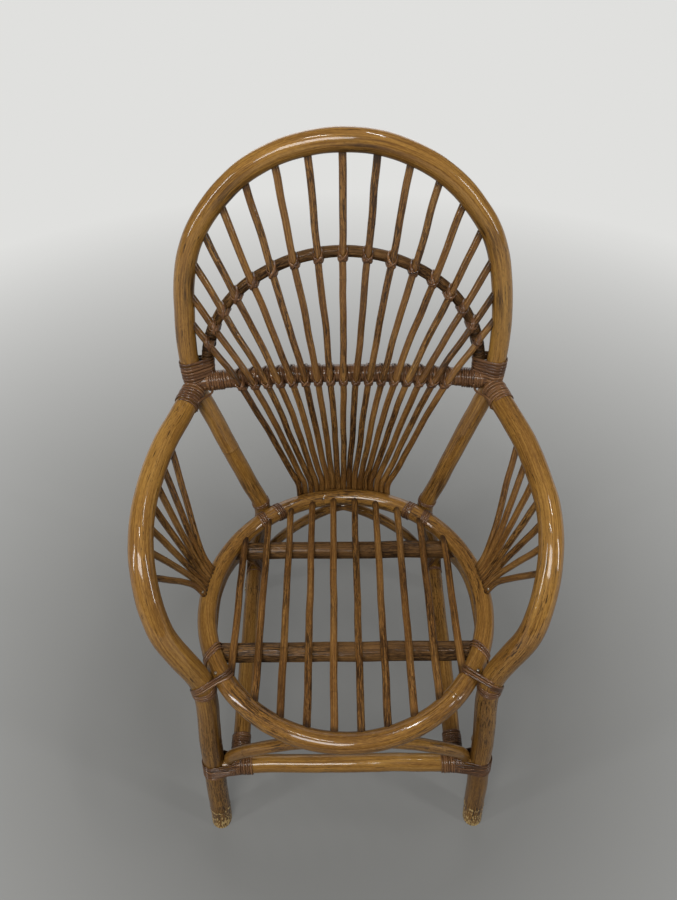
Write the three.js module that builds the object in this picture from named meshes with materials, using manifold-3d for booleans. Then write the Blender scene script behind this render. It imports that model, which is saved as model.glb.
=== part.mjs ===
// Rattan peacock armchair: bent poles, a fan of canes and peel bindings.
// Millimetres, +Z up. The chair faces -Y; left is -X and right is +X, as seen from the front.
import * as THREE from 'three';
import { mergeVertices } from 'three/addons/utils/BufferGeometryUtils.js';
import Module from 'manifold-3d';

// Gap kept between pieces that touch, and the depth to which poles and canes are notched
// where they bear on the ring
const CLEARANCE = 0.3;
const RING_NOTCH = 1;

// Diameters of the poles and canes
const RING_D = 30;
const HOOP_D = 30;
const ARM_D = 35;
const STRETCHER_D = 29;
const LEG_ARCH_D = 19;
const BEARER_D = 30;
const BACK_ARCH_D = 17;
const CROSSBAR_D = 29;
const FAN_CANE_D = 10;
const SLAT_D = 11;
const ARM_CANE_D = 9.5;

// Seat ring, by its centre line
const SEAT_HEIGHT = 370;
const SEAT_RADIUS = 225;

// Back hoop: heights are above the seat ring, setbacks are behind the ring's rearmost point,
// each foot is placed from where its leg touches the ring, and the straight part of the post is
// given in shares of the run from the ring to the joint
const HOOP_HALF_WIDTH = 237;
const HOOP_SPRING_RISE = 388;
const HOOP_TOP_SETBACK = 73;
const JOINT_RISE = 262;
const JOINT_SETBACK = 18;
const POST_ANGLE = THREE.MathUtils.degToRad(36.4);
const POST_STRAIGHT = { from: 0.22, to: 0.85 };
const REAR_FOOT_OUT = 62;
const REAR_FOOT_BACK = 55;
const FOOT_STOCK = 25;
const LEG_BEND_HEIGHT = 230;

// Arm and front leg, one bent pole: out from the ring's side, depth behind the seat centre,
// rise above the ring
const FRONT_FOOT_OUT = 10;
const FRONT_FOOT_BACK = -80;
const ARM_ANGLE = THREE.MathUtils.degToRad(-32.6);
const ARM_FRONT_BEND = { out: 37, depth: -112, rise: 130 };
const ARM_CREST = { out: 59, depth: -30, rise: 212 };
const ARM_REST = { out: 53, depth: 92, rise: 241 };
const ARM_END_DROP = 2;
const ARM_END_SHORT = 8;

// Cross bar and inner arch of the back
const CROSSBAR_RISE = 268;
const CROSSBAR_BOW = 20;
const BACK_ARCH_FOOT_RISE = 286;
const BACK_ARCH_TOP_RISE = 472;
const BACK_ARCH_FOOT_ANGLE = THREE.MathUtils.degToRad(18);

// Fan of the back: the bend above the feet runs out in a share of the way to the cross bar
const FAN_COUNT = 17;
const FAN_SPAN = Math.PI;
const FAN_BAR_SPACING = 20.4;
const FAN_BEND_RISE = 30;
const FAN_BEND_SHARE = 0.12;
const FAN_FOOT_DROP = 14;

// Seat slats and the two bearers under them
const SLAT_COUNT = 10;
const SLAT_EDGE_INSET = 50.4;
const SLAT_RISE = 5;
const REAR_BEARER_DEPTH = 116;
const FRONT_BEARER_DEPTH = -78;

// Low frame: the arches' crowns lie on or inside the ring's centre line, and their power is 1 for an
// ellipse and 2 for a gable
const STRETCHER_HEIGHT = 167;
const SIDE_STRETCHER_INSET = 42.5;
const FRONT_ARCH_INSET = 13;
const REAR_ARCH_INSET = 0;
const SIDE_ARCH_INSET = 4;
const LEG_ARCH_POWER = 1.25;
const REAR_ARCH_POWER = 1.5;

// Fan of each arm: the feet bite into each other so that one fan is one piece
const ARM_CANE_COUNT = 7;
const ARM_CANE_BITE = 1;
const ARM_CANE_FIRST_DEPTH = 140;
const ARM_CANE_SPACING = 34.5;
const ARM_CANE_FOOT_DEPTH = 34;
const ARM_CANE_FOOT_LEAN = THREE.MathUtils.degToRad(68);
const ARM_CANE_FOOT_RUN = 42;

// Peel strips of the bindings
const PEEL_WIDTH = 3;
const PEEL_THICKNESS = 1.6;
const PEEL_GAP = 0.8;
const BINDING_MARGIN = 3;
const ARM_BINDING_SETBACK = 9;
const HELD_REACH = 45;
const LASHING_ROOM = 5;
const LASHING_ROOM_LENGTH = 48;
const HOOP_BINDING_TURNS = 4;
const ARM_BINDING_TURNS = 7;
const CROSSBAR_BINDING_TURNS = 6;
const LASHING_TURNS = 3;
const STRETCHER_BINDING_TURNS = 5;

// Facets, and the fineness of the search along a curve
const POLE_SIDES = 10;
const ARCH_SIDES = 8;
const ARM_CANE_SIDES = 8;
const CANE_SIDES = 6;
const RING_STEPS = 48;
const HOOP_STEPS = 60;
const ARM_STEPS = 32;
const ARCH_STEPS = 18;
const BACK_ARCH_STEPS = 32;
const CROSSBAR_STEPS = 8;
const LASHING_ROOM_STEPS = 6;
const FAN_CANE_STEPS = 9;
const ARM_CANE_STEPS = 6;
const WINDING_STEPS = 12;
const HOOP_ARC_POINTS = 7;
const SEARCH_SHARE = 1e-7;

// Looks of the varnished poles, the canes, the dark core poles and the peel
const POLE_LOOK = { color: 0x8f5f2a, roughness: 0.32, metalness: 0 };
const CANE_LOOK = { color: 0x6f4820, roughness: 0.42, metalness: 0 };
const CORE_LOOK = { color: 0x553a22, roughness: 0.6, metalness: 0 };
const PEEL_LOOK = { color: 0x412818, roughness: 0.5, metalness: 0 };

const SIDES = [
  { name: 'left', sign: -1 },
  { name: 'right', sign: 1 },
];
const UP = new THREE.Vector3(0, 0, 1);
const FRONTWARD = new THREE.Vector3(0, -1, 0);
const wasm = await Module();
wasm.setup();
const chair = new THREE.Group();

// Solids and meshes

function addPiece(name, geometry, look) {
  const mesh = new THREE.Mesh(geometry, new THREE.MeshStandardMaterial(look));
  mesh.name = name;
  chair.add(mesh);
}

function toSolid(geometry) {
  const bare = geometry.clone();
  bare.deleteAttribute('normal');
  bare.deleteAttribute('uv');
  const merged = mergeVertices(bare);
  const vertProperties = new Float32Array(merged.attributes.position.array);
  const triVerts = new Uint32Array(merged.index.array);
  return new wasm.Manifold(new wasm.Mesh({ numProp: 3, vertProperties, triVerts }));
}

function toGeometry(solid) {
  const mesh = solid.getMesh();
  const geometry = new THREE.BufferGeometry();
  geometry.setAttribute('position', new THREE.BufferAttribute(mesh.vertProperties, 3));
  geometry.setIndex(new THREE.BufferAttribute(mesh.triVerts, 1));
  geometry.computeVertexNormals();
  return geometry;
}

function cutBy(solid, tools) {
  return tools.reduce((rest, tool) => rest.subtract(tool), solid);
}

// A round pole along a curve
function pole(curve, diameter, steps, sides) {
  const section = new THREE.Shape().absarc(0, 0, diameter / 2, 0, 2 * Math.PI);
  return new THREE.ExtrudeGeometry(section, {
    extrudePath: curve,
    steps,
    curveSegments: sides / 2,
    bevelEnabled: false,
  });
}

// The space that a pole fills, with the clearance all round it
function poleSpace(curve, diameter, steps, sides) {
  return toSolid(pole(curve, diameter + 2 * CLEARANCE, steps, sides));
}

function ring(diameter) {
  const geometry = new THREE.TorusGeometry(SEAT_RADIUS, diameter / 2, POLE_SIDES, RING_STEPS);
  return geometry.translate(0, 0, SEAT_HEIGHT);
}

// Curves

// Half an ellipse, or a more pointed arch, that stands on two feet, with its crown at a third point
class ArchCurve extends THREE.Curve {
  constructor(from, to, crown, power = 1) {
    super();
    this.power = power;
    this.middle = from.clone().add(to).multiplyScalar(0.5);
    this.reach = from.clone().sub(this.middle);
    this.rise = crown.clone().sub(this.middle);
  }

  getPoint(t, target = new THREE.Vector3()) {
    const angle = t * Math.PI;
    const across = Math.sign(Math.cos(angle)) * Math.abs(Math.cos(angle)) ** this.power;
    return target
      .copy(this.middle)
      .addScaledVector(this.reach, across)
      .addScaledVector(this.rise, Math.abs(Math.sin(angle)) ** this.power);
  }
}

// Part of the seat ring's centre line, between two angles from +X
class RingCurve extends THREE.Curve {
  constructor(from, to) {
    super();
    this.from = from;
    this.to = to;
  }

  getPoint(t, target = new THREE.Vector3()) {
    const angle = THREE.MathUtils.lerp(this.from, this.to, t);
    const x = SEAT_RADIUS * Math.cos(angle);
    const y = SEAT_RADIUS * Math.sin(angle);
    return target.set(x, y, SEAT_HEIGHT);
  }
}
const ringLine = new RingCurve(0, 2 * Math.PI);

// Distance along a curve at which one of its coordinates, which grows there, has a value
function distanceWhere(curve, axisName, value, from, to) {
  let low = from;
  let high = to;
  while (high - low > SEARCH_SHARE) {
    const middle = (low + high) / 2;
    if (curve.getPointAt(middle)[axisName] < value) {
      low = middle;
    } else {
      high = middle;
    }
  }
  return low * curve.getLength();
}

// Distance along a leg, from its lower end, to a height
function distanceAtHeight(curve, height) {
  return distanceWhere(curve, 'z', height, 0, 0.5);
}

function atHeight(curve, height) {
  return curve.getPointAt(distanceAtHeight(curve, height) / curve.getLength());
}

// Depth of the hoop's plane at a height, leaning back from the joints to the top
const jointDepth = SEAT_RADIUS + JOINT_SETBACK;
const jointHeight = SEAT_HEIGHT + JOINT_RISE;
const springHeight = SEAT_HEIGHT + HOOP_SPRING_RISE;
const hoopTopHeight = springHeight + HOOP_HALF_WIDTH;
function hoopDepth(height) {
  const share = (height - jointHeight) / (hoopTopHeight - jointHeight);
  return jointDepth + share * (HOOP_TOP_SETBACK - JOINT_SETBACK);
}

// Point on the hoop's half circle, by the angle from its top towards the right
function hoopPoint(angle) {
  const height = springHeight + HOOP_HALF_WIDTH * Math.cos(angle);
  return new THREE.Vector3(HOOP_HALF_WIDTH * Math.sin(angle), hoopDepth(height), height);
}

// A straight leg below the seat, run on under the ground so that the ground can cut it flat
function legPoints(touch, out, back) {
  const foot = new THREE.Vector3(touch.x + out, touch.y + back, 0);
  const end = foot.clone().lerp(touch, -FOOT_STOCK / touch.z);
  return [end, foot.clone().lerp(touch, LEG_BEND_HEIGHT / touch.z), touch];
}

// Rear leg, post, hoop, post and rear leg are one pole; the posts touch the ring from outside
const postReach = SEAT_RADIUS + RING_D / 2 + HOOP_D / 2 + CLEARANCE - RING_NOTCH;
const postTouch = new THREE.Vector3(
  postReach * Math.sin(POST_ANGLE),
  postReach * Math.cos(POST_ANGLE),
  SEAT_HEIGHT,
);
function hoopCurve() {
  const joint = new THREE.Vector3(HOOP_HALF_WIDTH, jointDepth, jointHeight);
  const legAndPost = [
    ...legPoints(postTouch, REAR_FOOT_OUT, REAR_FOOT_BACK),
    postTouch.clone().lerp(joint, POST_STRAIGHT.from),
    postTouch.clone().lerp(joint, POST_STRAIGHT.to),
    joint,
  ];
  const arc = [];
  for (let i = 0; i < HOOP_ARC_POINTS; i += 1) {
    arc.push(hoopPoint(Math.PI * (0.5 - i / (HOOP_ARC_POINTS - 1))));
  }
  const mirrored = legAndPost.map((p) => new THREE.Vector3(-p.x, p.y, p.z)).reverse();
  return new THREE.CatmullRomCurve3([...legAndPost, ...arc, ...mirrored]);
}
const hoopLine = hoopCurve();

// Front leg and arm, one pole that touches the ring from outside and ends against the hoop
const armReach = SEAT_RADIUS + RING_D / 2 + ARM_D / 2 + CLEARANCE - RING_NOTCH;
function armTouch(sign) {
  return new THREE.Vector3(
    sign * armReach * Math.cos(ARM_ANGLE),
    armReach * Math.sin(ARM_ANGLE),
    SEAT_HEIGHT,
  );
}

function armCurve(sign) {
  const place = ({ out, depth, rise }) =>
    new THREE.Vector3(sign * (SEAT_RADIUS + out), depth, SEAT_HEIGHT + rise);
  const rest = place(ARM_REST);
  const joint = new THREE.Vector3(sign * HOOP_HALF_WIDTH, jointDepth, jointHeight - ARM_END_DROP);
  const shortBy = joint.clone().sub(rest).setLength(ARM_END_SHORT);
  return new THREE.CatmullRomCurve3([
    ...legPoints(armTouch(sign), sign * FRONT_FOOT_OUT, FRONT_FOOT_BACK),
    place(ARM_FRONT_BEND),
    place(ARM_CREST),
    rest,
    joint.sub(shortBy),
  ]);
}
const armLines = { left: armCurve(-1), right: armCurve(1) };

// Spaces of the main poles, which cut the pieces that end against them
const ringSpace = toSolid(ring(RING_D + 2 * CLEARANCE));
const hoopSpace = poleSpace(hoopLine, HOOP_D, HOOP_STEPS, POLE_SIDES);
const armSpaces = {
  left: poleSpace(armLines.left, ARM_D, ARM_STEPS, POLE_SIDES),
  right: poleSpace(armLines.right, ARM_D, ARM_STEPS, POLE_SIDES),
};

// The ground, which cuts every foot flat
const GROUND_SIZE = 4 * SEAT_RADIUS;
const groundBox = new THREE.BoxGeometry(GROUND_SIZE, GROUND_SIZE, GROUND_SIZE);
const ground = toSolid(groundBox.translate(0, 0, -GROUND_SIZE / 2));

// Seat ring, back hoop and arms

addPiece('seat_ring', ring(RING_D), POLE_LOOK);
const hoopStock = toSolid(pole(hoopLine, HOOP_D, HOOP_STEPS, POLE_SIDES));
addPiece('back_hoop', toGeometry(cutBy(hoopStock, [ground, ringSpace])), POLE_LOOK);
for (const { name } of SIDES) {
  const stock = toSolid(pole(armLines[name], ARM_D, ARM_STEPS, POLE_SIDES));
  const solid = cutBy(stock, [ground, hoopSpace, ringSpace]);
  addPiece(`arm_and_front_leg_${name}`, toGeometry(solid), POLE_LOOK);
}

// Cross bar of the back, bowed to the rear between the joints

const crossbarHeight = SEAT_HEIGHT + CROSSBAR_RISE;
function crossbarDepth(x) {
  return jointDepth + CROSSBAR_BOW * (1 - (x / HOOP_HALF_WIDTH) ** 2);
}
const crossbarLine = new THREE.QuadraticBezierCurve3(
  new THREE.Vector3(HOOP_HALF_WIDTH, jointDepth, crossbarHeight),
  new THREE.Vector3(0, jointDepth + 2 * CROSSBAR_BOW, crossbarHeight),
  new THREE.Vector3(-HOOP_HALF_WIDTH, jointDepth, crossbarHeight),
);
const crossbarStock = toSolid(pole(crossbarLine, CROSSBAR_D, CROSSBAR_STEPS, POLE_SIDES));
const crossbarCuts = [hoopSpace, armSpaces.left, armSpaces.right];
addPiece('back_crossbar', toGeometry(cutBy(crossbarStock, crossbarCuts)), CORE_LOOK);
const crossbarSpace = poleSpace(crossbarLine, CROSSBAR_D, CROSSBAR_STEPS, POLE_SIDES);

// Inner arch of the back: its feet lie inside and behind the hoop, its crown behind the fan

const archFootHeight = SEAT_HEIGHT + BACK_ARCH_FOOT_RISE;
const archTopHeight = SEAT_HEIGHT + BACK_ARCH_TOP_RISE;
const archFootReach = HOOP_D / 2 + BACK_ARCH_D / 2 + CLEARANCE;
const archHalfSpan = HOOP_HALF_WIDTH - archFootReach * Math.cos(BACK_ARCH_FOOT_ANGLE);
const archFootDepth = hoopDepth(archFootHeight) + archFootReach * Math.sin(BACK_ARCH_FOOT_ANGLE);
const barToFan = CROSSBAR_D / 2 + FAN_CANE_D / 2 + CLEARANCE;
const archToFan = BACK_ARCH_D / 2 + FAN_CANE_D / 2 + CLEARANCE;
const fanDepthAtBar = crossbarDepth(0) - barToFan;
const fanDepthAtTop = jointDepth + HOOP_TOP_SETBACK - JOINT_SETBACK;
const archTopShare = (archTopHeight - crossbarHeight) / (hoopTopHeight - crossbarHeight);
const archTopDepth = THREE.MathUtils.lerp(fanDepthAtBar, fanDepthAtTop, archTopShare) + archToFan;
const backArchLine = new ArchCurve(
  new THREE.Vector3(archHalfSpan, archFootDepth, archFootHeight),
  new THREE.Vector3(-archHalfSpan, archFootDepth, archFootHeight),
  new THREE.Vector3(0, archTopDepth, archTopHeight),
);
addPiece('back_arch', pole(backArchLine, BACK_ARCH_D, BACK_ARCH_STEPS, ARCH_SIDES), CORE_LOOK);
const backArchSpace = poleSpace(backArchLine, BACK_ARCH_D, BACK_ARCH_STEPS, ARCH_SIDES);

// Where a straight run from the cross bar to the hoop passes in front of the inner arch
function archCrossing(bar, end) {
  const archRise = archTopHeight - archFootHeight;
  const x = bar.x / archHalfSpan;
  const z = (bar.z - archFootHeight) / archRise;
  const dx = (end.x - bar.x) / archHalfSpan;
  const dz = (end.z - bar.z) / archRise;
  const a = dx * dx + dz * dz;
  const b = 2 * (x * dx + z * dz);
  const c = x * x + z * z - 1;
  const share = (-b + Math.sqrt(b * b - 4 * a * c)) / (2 * a);
  const point = bar.clone().lerp(end, share);
  const heightShare = (point.z - archFootHeight) / archRise;
  point.y = THREE.MathUtils.lerp(archFootDepth, archTopDepth, heightShare) - archToFan;
  return point;
}

// Fan of the back: side by side behind the ring, spread over the cross bar, ended on the hoop

function fanCaneCurve(index) {
  const step = index - (FAN_COUNT - 1) / 2;
  const footX = step * (FAN_CANE_D + CLEARANCE);
  const footReach = SEAT_RADIUS + RING_D / 2 + FAN_CANE_D / 2 + CLEARANCE - RING_NOTCH;
  const footY = Math.sqrt(footReach ** 2 - footX ** 2);
  const barX = step * FAN_BAR_SPACING;
  const bar = new THREE.Vector3(barX, crossbarDepth(barX) - barToFan, crossbarHeight);
  const end = hoopPoint((step * FAN_SPAN) / (FAN_COUNT - 1));
  const bend = new THREE.Vector3(footX, footY, SEAT_HEIGHT + FAN_BEND_RISE);
  return new THREE.CatmullRomCurve3([
    new THREE.Vector3(footX, footY, SEAT_HEIGHT - FAN_FOOT_DROP),
    bend,
    bend.clone().lerp(bar, FAN_BEND_SHARE),
    bar,
    archCrossing(bar, end),
    end,
  ]);
}
for (let i = 0; i < FAN_COUNT; i += 1) {
  const stock = toSolid(pole(fanCaneCurve(i), FAN_CANE_D, FAN_CANE_STEPS, CANE_SIDES));
  const name = `fan_cane_${String(i + 1).padStart(2, '0')}`;
  const tools = [hoopSpace, crossbarSpace, backArchSpace, ringSpace];
  addPiece(name, toGeometry(cutBy(stock, tools)), CANE_LOOK);
}

// Low frame: front stretcher, side stretchers and the four arches under the ring

const frontLegLow = atHeight(armLines.right, STRETCHER_HEIGHT);
const rearLegLow = atHeight(hoopLine, STRETCHER_HEIGHT);
const frontStretcherLine = new THREE.LineCurve3(
  new THREE.Vector3(-frontLegLow.x, frontLegLow.y, STRETCHER_HEIGHT),
  new THREE.Vector3(frontLegLow.x, frontLegLow.y, STRETCHER_HEIGHT),
);
const frontStretcherStock = toSolid(pole(frontStretcherLine, STRETCHER_D, 1, POLE_SIDES));
const frontStretcher = cutBy(frontStretcherStock, [armSpaces.left, armSpaces.right]);
addPiece('front_stretcher', toGeometry(frontStretcher), POLE_LOOK);
const frontStretcherSpace = poleSpace(frontStretcherLine, STRETCHER_D, 1, POLE_SIDES);

const sideStretcherFront = frontLegLow.x - SIDE_STRETCHER_INSET;
function sideStretcherLine(sign) {
  return new THREE.LineCurve3(
    new THREE.Vector3(sign * sideStretcherFront, frontLegLow.y, STRETCHER_HEIGHT),
    new THREE.Vector3(sign * rearLegLow.x, rearLegLow.y, STRETCHER_HEIGHT),
  );
}
const sideStretcherSpaces = [];
for (const { name, sign } of SIDES) {
  const line = sideStretcherLine(sign);
  const stock = toSolid(pole(line, STRETCHER_D, 1, POLE_SIDES));
  const solid = cutBy(stock, [frontStretcherSpace, hoopSpace]);
  addPiece(`side_stretcher_${name}`, toGeometry(solid), POLE_LOOK);
  sideStretcherSpaces.push(poleSpace(line, STRETCHER_D, 1, POLE_SIDES));
}

const legArchFootHeight = STRETCHER_HEIGHT + STRETCHER_D / 2 + CLEARANCE;
const frontLegFoot = atHeight(armLines.right, legArchFootHeight);
const rearLegFoot = atHeight(hoopLine, legArchFootHeight);
const frontFootReach = ARM_D / 2 + LEG_ARCH_D / 2 + CLEARANCE;
const rearFootReach = HOOP_D / 2 + LEG_ARCH_D / 2 + CLEARANCE;
const crownReach = RING_D / 2 + LEG_ARCH_D / 2 + CLEARANCE;

// Height of a crown that bears on the ring from below, at an inset from the ring's centre line
function crownHeight(inset) {
  return SEAT_HEIGHT - Math.sqrt(crownReach ** 2 - inset ** 2);
}

// An arch between two legs of a pair; side is -1 at the front and 1 at the rear
function crossArchLine(leg, footReach, side, inset, power) {
  const halfSpan = leg.x - footReach;
  const crownDepth = side * (SEAT_RADIUS - inset);
  return new ArchCurve(
    new THREE.Vector3(-halfSpan, leg.y, legArchFootHeight),
    new THREE.Vector3(halfSpan, leg.y, legArchFootHeight),
    new THREE.Vector3(0, crownDepth, crownHeight(inset)),
    power,
  );
}

// An arch from a front leg to a rear leg, with its crown against the ring's lower inner side
function sideArchLine(sign) {
  const along = rearLegFoot.clone().sub(frontLegFoot).normalize();
  const from = frontLegFoot.clone().addScaledVector(along, frontFootReach);
  const to = rearLegFoot.clone().addScaledVector(along, -rearFootReach);
  const crown = from.clone().lerp(to, 0.5);
  crown.setZ(0).setLength(SEAT_RADIUS - SIDE_ARCH_INSET);
  crown.z = crownHeight(SIDE_ARCH_INSET);
  const points = [from, to, crown];
  const placed = points.map((p) => new THREE.Vector3(sign * p.x, p.y, p.z));
  return new ArchCurve(...placed, LEG_ARCH_POWER);
}

const legSpaces = [armSpaces.left, armSpaces.right, hoopSpace];
const archTools = [...legSpaces, ...sideStretcherSpaces, frontStretcherSpace, ringSpace];
const legArchLines = {
  front_arch: crossArchLine(frontLegFoot, frontFootReach, -1, FRONT_ARCH_INSET, LEG_ARCH_POWER),
  rear_arch: crossArchLine(rearLegFoot, rearFootReach, 1, REAR_ARCH_INSET, REAR_ARCH_POWER),
  side_arch_left: sideArchLine(-1),
  side_arch_right: sideArchLine(1),
};
for (const [name, line] of Object.entries(legArchLines)) {
  const stock = toSolid(pole(line, LEG_ARCH_D, ARCH_STEPS, ARCH_SIDES));
  addPiece(name, toGeometry(cutBy(stock, archTools)), POLE_LOOK);
}

// Seat: slats let into the ring's inner side, on two bearers notched under the ring

const slatHeight = SEAT_HEIGHT + SLAT_RISE;
const bearerHeight = slatHeight - SLAT_D / 2 - BEARER_D / 2 - CLEARANCE;
const sideArchSpaces = ['side_arch_left', 'side_arch_right'].map((name) =>
  poleSpace(legArchLines[name], LEG_ARCH_D, ARCH_STEPS, ARCH_SIDES),
);

// Rooms round the ring for the lashings, which the slats and bearers beside them stop short of
const postRingAngle = Math.PI / 2 - POST_ANGLE;
const lashingAngles = [ARM_ANGLE, Math.PI - ARM_ANGLE, postRingAngle, Math.PI - postRingAngle];
function lashingRooms(around) {
  return lashingAngles.map((angle) => {
    const half = LASHING_ROOM_LENGTH / 2 / SEAT_RADIUS;
    const line = new RingCurve(angle - half, angle + half);
    return toSolid(pole(line, RING_D + 2 * around, LASHING_ROOM_STEPS, POLE_SIDES));
  });
}
const slatRooms = lashingRooms(LASHING_ROOM);
const bearerRooms = lashingRooms(LASHING_ROOM + CLEARANCE + PEEL_THICKNESS);

for (const [name, depth] of [['front', FRONT_BEARER_DEPTH], ['rear', REAR_BEARER_DEPTH]]) {
  const halfSpan = Math.sqrt(SEAT_RADIUS ** 2 - depth ** 2);
  const line = new THREE.LineCurve3(
    new THREE.Vector3(-halfSpan, depth, bearerHeight),
    new THREE.Vector3(halfSpan, depth, bearerHeight),
  );
  const stock = toSolid(pole(line, BEARER_D, 1, POLE_SIDES));
  const solid = cutBy(stock, [ringSpace, ...sideArchSpaces, ...bearerRooms]);
  addPiece(`seat_bearer_${name}`, toGeometry(solid), CORE_LOOK);
}

// A slat's stretch between the lashings, without any end that is left beyond one
function longestBody(solid) {
  return solid.decompose().reduce((best, body) => (body.volume() > best.volume() ? body : best));
}
const slatHalfSpan = SEAT_RADIUS - SLAT_EDGE_INSET;
for (let i = 0; i < SLAT_COUNT; i += 1) {
  const x = THREE.MathUtils.lerp(-slatHalfSpan, slatHalfSpan, i / (SLAT_COUNT - 1));
  const halfLength = Math.sqrt(SEAT_RADIUS ** 2 - x ** 2);
  const line = new THREE.LineCurve3(
    new THREE.Vector3(x, -halfLength, slatHeight),
    new THREE.Vector3(x, halfLength, slatHeight),
  );
  const stock = toSolid(pole(line, SLAT_D, 1, CANE_SIDES));
  const name = `seat_slat_${String(i + 1).padStart(2, '0')}`;
  const slat = longestBody(cutBy(stock, [ringSpace, ...slatRooms]));
  addPiece(name, toGeometry(slat), CANE_LOOK);
}

// Fan of each arm: from the ring's upper outer side out to the arm

function armPointAtDepth(line, depth) {
  return line.getPointAt(distanceWhere(line, 'y', depth, 0.5, 1) / line.getLength());
}

function armCaneCurve(name, sign, index, bite) {
  const fromMiddle = (ARM_CANE_COUNT - 1) / 2 - index;
  const footAngle = (ARM_CANE_FOOT_DEPTH + fromMiddle * (ARM_CANE_D - bite)) / SEAT_RADIUS;
  const outward = new THREE.Vector3(sign * Math.cos(footAngle), Math.sin(footAngle), 0);
  const foot = outward.clone().multiplyScalar(SEAT_RADIUS).setZ(SEAT_HEIGHT);
  const bend = foot.clone();
  bend.addScaledVector(outward, ARM_CANE_FOOT_RUN * Math.cos(ARM_CANE_FOOT_LEAN));
  bend.addScaledVector(UP, ARM_CANE_FOOT_RUN * Math.sin(ARM_CANE_FOOT_LEAN));
  const end = armPointAtDepth(armLines[name], ARM_CANE_FIRST_DEPTH - index * ARM_CANE_SPACING);
  return new THREE.CatmullRomCurve3([foot, bend, end]);
}

// The feet bite deeper, a bite at a time, until the fan is one piece above the ring
function armFan(name, sign, bite) {
  const canes = [];
  for (let i = 0; i < ARM_CANE_COUNT; i += 1) {
    const line = armCaneCurve(name, sign, i, bite);
    canes.push(toSolid(pole(line, ARM_CANE_D, ARM_CANE_STEPS, ARM_CANE_SIDES)));
  }
  const fan = canes.reduce((joined, cane) => joined.add(cane));
  const solid = cutBy(fan, [ringSpace, armSpaces[name]]);
  return solid.decompose().length === 1 ? solid : armFan(name, sign, bite + ARM_CANE_BITE);
}
for (const { name, sign } of SIDES) {
  addPiece(`arm_fan_${name}`, toGeometry(armFan(name, sign, ARM_CANE_BITE)), CANE_LOOK);
}

// Bindings: strips of peel wound round what they hold, each one unbroken strip

// Corner of the outline that holds a shape, between two turns of its normal
function outlineCorner(support, angle, along, offset) {
  const turn = (2 * Math.PI) / WINDING_STEPS;
  const first = support(angle - turn / 2, along) + offset;
  const second = support(angle + turn / 2, along) + offset;
  return new THREE.Vector2(
    (first * Math.sin(angle + turn / 2) - second * Math.sin(angle - turn / 2)) / Math.sin(turn),
    (second * Math.cos(angle - turn / 2) - first * Math.cos(angle + turn / 2)) / Math.sin(turn),
  );
}

// Four corners of the strip at one step; frameAt gives an origin and axes along the binding
function stripSection(frameAt, support, angle, along) {
  const { origin, across, over, axis } = frameAt(along);
  const corner = (offset, side) => {
    const flat = outlineCorner(support, angle, along, offset);
    return origin
      .clone()
      .addScaledVector(across, flat.x)
      .addScaledVector(over, flat.y)
      .addScaledVector(axis, (side * PEEL_WIDTH) / 2);
  };
  const outside = CLEARANCE + PEEL_THICKNESS;
  return [corner(CLEARANCE, -1), corner(CLEARANCE, 1), corner(outside, 1), corner(outside, -1)];
}

// The end of a strip runs straight on for one strip width
function straightEnd(last, before) {
  const run = last[0].clone().sub(before[0]).setLength(PEEL_WIDTH);
  return last.map((corner) => corner.clone().add(run));
}

function leastGap(sections) {
  let least = Infinity;
  for (let i = 0; i < sections.length; i += 1) {
    for (let j = i + WINDING_STEPS / 2; j < sections.length; j += 1) {
      for (const p of sections[i]) {
        for (const q of sections[j]) {
          least = Math.min(least, p.distanceTo(q));
        }
      }
    }
  }
  return least;
}

function stripGeometry(sections) {
  const corners = 4;
  const index = [0, 2, 1, 0, 3, 2];
  for (let i = 0; i + 1 < sections.length; i += 1) {
    for (let k = 0; k < corners; k += 1) {
      const a = i * corners + k;
      const b = i * corners + ((k + 1) % corners);
      index.push(a, b, b + corners, a, b + corners, a + corners);
    }
  }
  const end = (sections.length - 1) * corners;
  index.push(end, end + 1, end + 2, end, end + 2, end + 3);
  const geometry = new THREE.BufferGeometry().setFromPoints(sections.flat());
  geometry.setIndex(index);
  geometry.computeVertexNormals();
  return geometry;
}

// The sections of a strip wound round what it holds
function windStrip(frameAt, held, turns) {
  const support = heldSupport(frameAt, held);
  const sections = [];
  for (let i = 0; i <= turns * WINDING_STEPS; i += 1) {
    const along = (i / WINDING_STEPS - turns / 2) * (PEEL_WIDTH + PEEL_GAP);
    sections.push(stripSection(frameAt, support, (2 * Math.PI * i) / WINDING_STEPS, along));
  }
  const count = sections.length;
  const first = straightEnd(sections[0], sections[1]);
  const last = straightEnd(sections[count - 1], sections[count - 2]);
  return [first, ...sections, last];
}

function addBinding(name, frameAt, held, turns) {
  const strip = windStrip(frameAt, held, turns);
  console.log(`${name}: least gap between turns ${leastGap(strip).toFixed(2)} mm`);
  addPiece(name, stripGeometry(strip), PEEL_LOOK);
}

// Length of a binding along what it holds
function bindingLength(turns) {
  return turns * (PEEL_WIDTH + PEEL_GAP) + PEEL_WIDTH;
}

// Axes that follow a curve, centred at a distance from its start
function frameOnCurve(curve, distance, side = UP) {
  const length = curve.getLength();
  return (along) => {
    const fraction = (distance + along) / length;
    const axis = curve.getTangentAt(fraction);
    const over = axis.clone().cross(side).normalize();
    const across = over.clone().cross(axis);
    return { origin: curve.getPointAt(fraction), across, over, axis };
  };
}

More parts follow.
